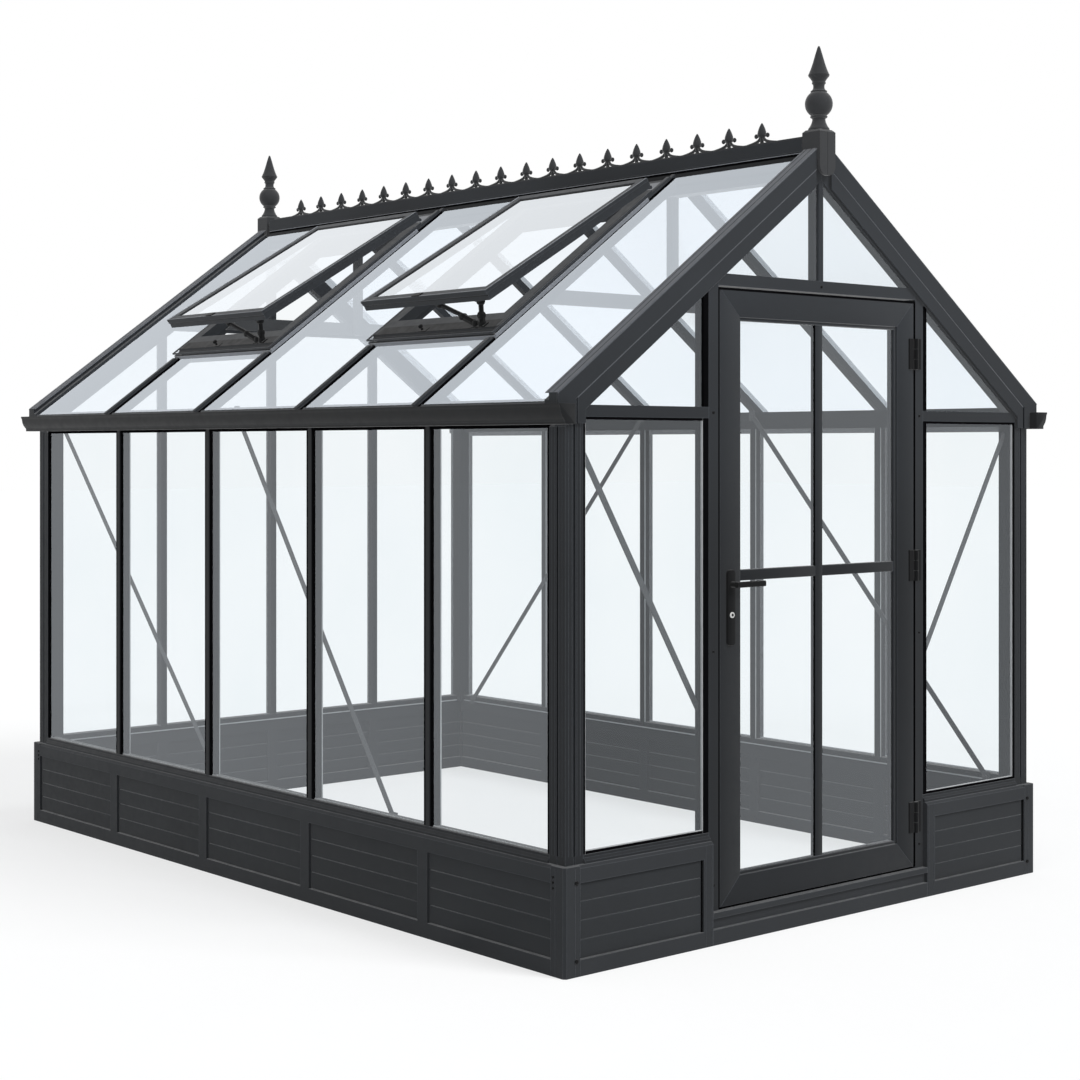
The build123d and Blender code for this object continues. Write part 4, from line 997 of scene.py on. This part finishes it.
# raised covers on the roof bars, and lines of painted shade and highlight along the ridge
VENT_MID = 0.652
COVER_HALF = 0.010
covers = []
for side, word in ((-1, "left"), (1, "right")):
    on_roof = roof_frame(side)
    for low, high in solids(word + "_roof_bars"):
        mid = (low.y + high.y) / 2
        beside_vent = side < 0 and abs(abs(mid) - VENT_MID) < 0.34
        for start, end in ([(0.034, 0.146), (0.842, 1.147)] if beside_vent else [(0.034, 1.147)]):
            cover = slab("bar_cover", (start / SLOPE, mid - COVER_HALF, CAP_TOP - 0.001),
                         (end / SLOPE, mid + COVER_HALF, CAP_TOP + 0.007))
            covers.append(laid(bevelled(cover, 0.0022, 2), on_roof))
placed(joined("roof_bar_covers", covers), coat, smooth=40)
ridge_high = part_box("ridge")[1]
# each line runs along both sides of the ridge, from z0 to z1 below its top: the black ones are painted shade
# in its recesses, the pale one a painted highlight, and the band in frame coat is painted light over the
# darker ridge coat
for tone, name, z0, z1, proud in ((rubber_and_shade, "ridge_groove", 0.052, 0.060, 0.0006),
                                  (flashing_and_highlight, "ridge_line", 0.050, 0.0518, 0.0012),
                                  (rubber_and_shade, "ridge_foot", 0.098, 0.106, 0.0008),
                                  (coat, "ridge_band", 0.002, 0.046, 0.0006)):
    z = (ridge_high.z - z1, ridge_high.z - z0)
    strips = [strip(name, ordered(side, ridge_high.x - 0.002, ridge_high.x + proud), (-1.572, 1.572), z, 0)
              for side in (-1, 1)]
    placed(joined(name, strips), tone)

# -------- black lines of painted shade in the gaps round the door, and gable seals
header_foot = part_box("door_header")[0].z
lines = [((-0.478, 0.478), -0.0012, (header_foot - 0.001, header_foot + 0.0065)),
         ((-0.4775, 0.4775), 0.001, (0.101, 0.1025)),
         ((-0.4785, -0.4762), -0.0008, (0.105, header_foot)),
         ((0.4762, 0.4785), -0.0008, (0.105, header_foot))]
lines = [strip("door_line", x, (-FRAME_Y + front, -FRAME_Y + 0.020), z, 0.0004) for x, front, z in lines]
placed(joined("door_seal_lines", lines), rubber_and_shade)

SEAL_WIDE, SEAL_NARROW, LIP_WIDTH = 0.022, 0.010, 0.0025
SEAL_FRONT, LIP_FRONT, SEAL_BACK = 0.0015, 0.004, 0.0115
PANE_TOP, SIDE_PANE_TOP = 1.620, 1.605
beads, tips = [], []


def gable_strip(x, z, side, name="gable_seal"):
    """A seal, or the pale lip beside it that is a painted highlight, against a pane of the door gable."""
    front, edge = (SEAL_FRONT, 0.0008) if name == "gable_seal" else (LIP_FRONT, 0)
    return strip(name, ordered(side, *x), (-FRAME_Y + front, -FRAME_Y + SEAL_BACK), z, edge)


for side in (-1, 1):
    for x, way, wide in ((DOOR_POST_IN, 1, SEAL_WIDE), (POST_IN, -1, SEAL_NARROW)):
        beads.append(gable_strip((x, x + way * wide), (SILL_TOP, PANE_TOP), side))
        lip = (x + way * wide, x + way * (wide + LIP_WIDTH))
        tips.append(gable_strip(lip, (SILL_TOP, PANE_TOP), side, "gable_lip"))
    beads.append(gable_strip((DOOR_POST_IN, DOOR_POST_IN + SEAL_WIDE), (1.655, 2.012), side))
    between = (DOOR_POST_IN + SEAL_WIDE + LIP_WIDTH, POST_IN - SEAL_NARROW - LIP_WIDTH)
    beads.append(gable_strip(between, (SILL_TOP, 0.3535), side))
    tips.append(gable_strip(between, (0.3535, 0.3555), side, "gable_lip"))
    beads.append(gable_strip(between, (1.612, PANE_TOP), side))
    for end in (-1, 1):
        x = ordered(side, FRAME_X - SEAL_FRONT, FRAME_X - SEAL_BACK)
        y = ordered(end, FRAME_Y - POST, FRAME_Y - POST - SEAL_NARROW)
        beads.append(strip("corner_seal", x, y, (SILL_TOP, SIDE_PANE_TOP)))
    x = ordered(side, FRAME_X - 0.0016, FRAME_X - SEAL_BACK)
    beads.append(strip("head_seal", x, (POST - FRAME_Y, FRAME_Y - POST), (1.587, SIDE_PANE_TOP)))
placed(joined("pane_edge_seals", beads), rubber_and_shade)
placed(joined("pane_edge_lips", tips), pale_seal_and_highlight)
# black strips at both ends of each gable base panel: painted shadow in the recesses beside the posts
shadows = []
for low, high in solids("gable_base_boards"):
    front, side = (low.y, -1) if low.y < 0 else (high.y, 1)
    y = (front - side * 0.002, front + side * 0.0028)
    for x in ((low.x, low.x + 0.005), (high.x - 0.005, high.x)):
        shadows.append(strip("panel_shadow", x, y, (low.z, high.z), 0))
placed(joined("panel_end_seals", shadows), rubber_and_shade)

RIB_LOW, RIB_HIGH = 0.004, 0.312
ribs = [slab("base_rib", (x - FLUTE_HALF, 1.649, RIB_LOW), (x + FLUTE_HALF, 1.6512, RIB_HIGH))
        for x in (0.527, 0.553, 1.0705, 1.089)]
ribs += [slab("base_rib", (1.129, y - FLUTE_HALF, RIB_LOW), (1.1312, y + FLUTE_HALF, RIB_HIGH))
         for y in (1.5905, 1.609)]
ribs = [bevelled(piece, 0.0007, 1, upright) for piece in ribs]
four_ways(ribs, "base_ribs", base_coat)

# -------- screws and brace plates
base_face_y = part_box("gable_base_frames")[0].y
frame_face_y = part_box("door_posts")[0].y
screws = []
for side in (-1, 1):
    for z in (0.272, 0.046):
        for way in (1, -1):
            spot = (side * 1.085, way * base_face_y, z)
            screws.append(screw_head("base_screw", spot, (0, -way, 0), 0.0065))
    for end in (-1, 1):
        for z in (0.288, 0.272, 0.256):
            screws.append(screw_head("base_bolt", (side * 1.130, end * 1.600, z), (side, 0, 0), 0.0045))
    for z in (1.6375, 0.180, 0.900):
        screws.append(screw_head("post_screw", (side * 0.500, frame_face_y, z), (0, -1, 0), 0.0045))
screws.append(screw_head("header_screw", (0, frame_face_y, 2.051), (0, -1, 0), 0.0045))
placed(joined("frame_screws", screws), black, smooth=40)

PLATE_HALF, PLATE_TALL, PLATE_THICK = 0.016, 0.020, 0.003
BRACE_END = 0.025


def brace_ends():
    """A small plate with its bolt at each end of every wall brace."""
    plates = []
    points = [v.co.copy() for v in nodes["wall_braces"].data.vertices]
    for low, high in solids("wall_braces"):
        along, out = (0, 1) if high.x - low.x > high.y - low.y else (1, 0)
        side = 1 if low[out] + high[out] > 0 else -1
        face = low[out] if side > 0 else high[out]
        inside = [p for p in points if all(low[i] - 1e-4 <= p[i] <= high[i] + 1e-4 for i in range(3))]
        for end in (low.z, high.z):
            near = [p for p in inside if abs(p.z - end) < BRACE_END]
            spot = sum(near, Vector()) / len(near)
            a, b, normal = spot.copy(), spot.copy(), Vector()
            for corner, way in ((a, -1), (b, 1)):
                corner[along] += way * PLATE_HALF
                corner.z += way * PLATE_TALL
            a[out], b[out] = face, face - side * PLATE_THICK
            plates.append(strip("brace_plate", *zip(a, b), 0.001))
            spot[out], normal[out] = face - side * PLATE_THICK, -side
            plates.append(screw_head("brace_bolt", spot, normal, 0.007))
    return placed(joined("brace_end_plates", plates), brace_coat, smooth=40)


brace_ends()

# -------- floor, light, camera
deselect()
bpy.ops.mesh.primitive_plane_add(size=120, location=(0, 0, -0.0005))
floor = bpy.context.object
floor.name = "studio_floor"
settle(floor)


def seen_straight(tree):
    """1 for what the camera sees straight on or in a reflection, else 0."""
    return add(tree, "Math", "MAXIMUM", add(tree, "LightPath", out="Is Camera Ray"),
               add(tree, "LightPath", out="Is Glossy Ray"))


material, tree = new_material("pale_floor")
place = add(tree, "TexCoord", out="Object")
tone = add(tree, "Mix", "RGBA", Factor=noise(tree, place, 3.0), A=(0.84, 0.845, 0.85, 1),
           B=(0.88, 0.882, 0.885, 1), out="Result")
shade = add(tree, "BsdfDiffuse", Color=tone)
glow = add(tree, "Emission", Color=(1, 1, 1, 1), Strength=1.1)
share = add(tree, "Math", "MULTIPLY", seen_straight(tree), 0.62)
add(tree, "OutputMaterial", Surface=add(tree, "MixShader", None, share, shade, glow))
floor.data.materials.append(material)

world = bpy.data.worlds.new("studio")
bpy.context.scene.world = world
world.use_nodes = True
tree = world.node_tree
tree.nodes.clear()
soft = add(tree, "Background", Color=(0.95, 0.98, 1.0, 1), Strength=0.42)
white = add(tree, "Background", Color=(1, 1, 1, 1), Strength=1.0)
seen = add(tree, "Math", "MAXIMUM", seen_straight(tree), add(tree, "LightPath", out="Is Transmission Ray"))
add(tree, "OutputWorld", Surface=add(tree, "MixShader", None, seen, soft, white))


def sun(name, strength, azimuth, height, angle):
    """A soft sun. Azimuth 0 stands before the door gable, 90 before the right side."""
    bpy.ops.object.light_add(type="SUN", location=(0, 0, 6))
    lamp = bpy.context.object
    lamp.name = name
    lamp.data.energy = strength
    lamp.data.angle = radians(angle)
    lamp.visible_glossy = False
    a, h = radians(azimuth), radians(height)
    back = Vector((sin(a) * cos(h), -cos(a) * cos(h), sin(h)))
    lamp.rotation_euler = (-back).to_track_quat("-Z", "Y").to_euler()


sun("key", 2.4, 20, 42, 25)
sun("fill", 0.4, -75, 35, 40)

bpy.ops.object.camera_add(location=(-4.9604, -5.984, 1.5282), rotation=(radians(90), 0, radians(-40.771)))
camera = bpy.context.object
camera.data.lens = 67.14
camera.data.sensor_width = 36
camera.data.shift_y = -0.0851
camera.data.clip_end = 200
bpy.context.scene.camera = camera
bpy.context.scene.view_settings.view_transform = "Standard"
bpy.context.scene.cycles.transparent_max_bounces = 24

for piece in bpy.data.objects:
    if piece.type == "MESH" and piece != floor:
        piece.visible_glossy = False
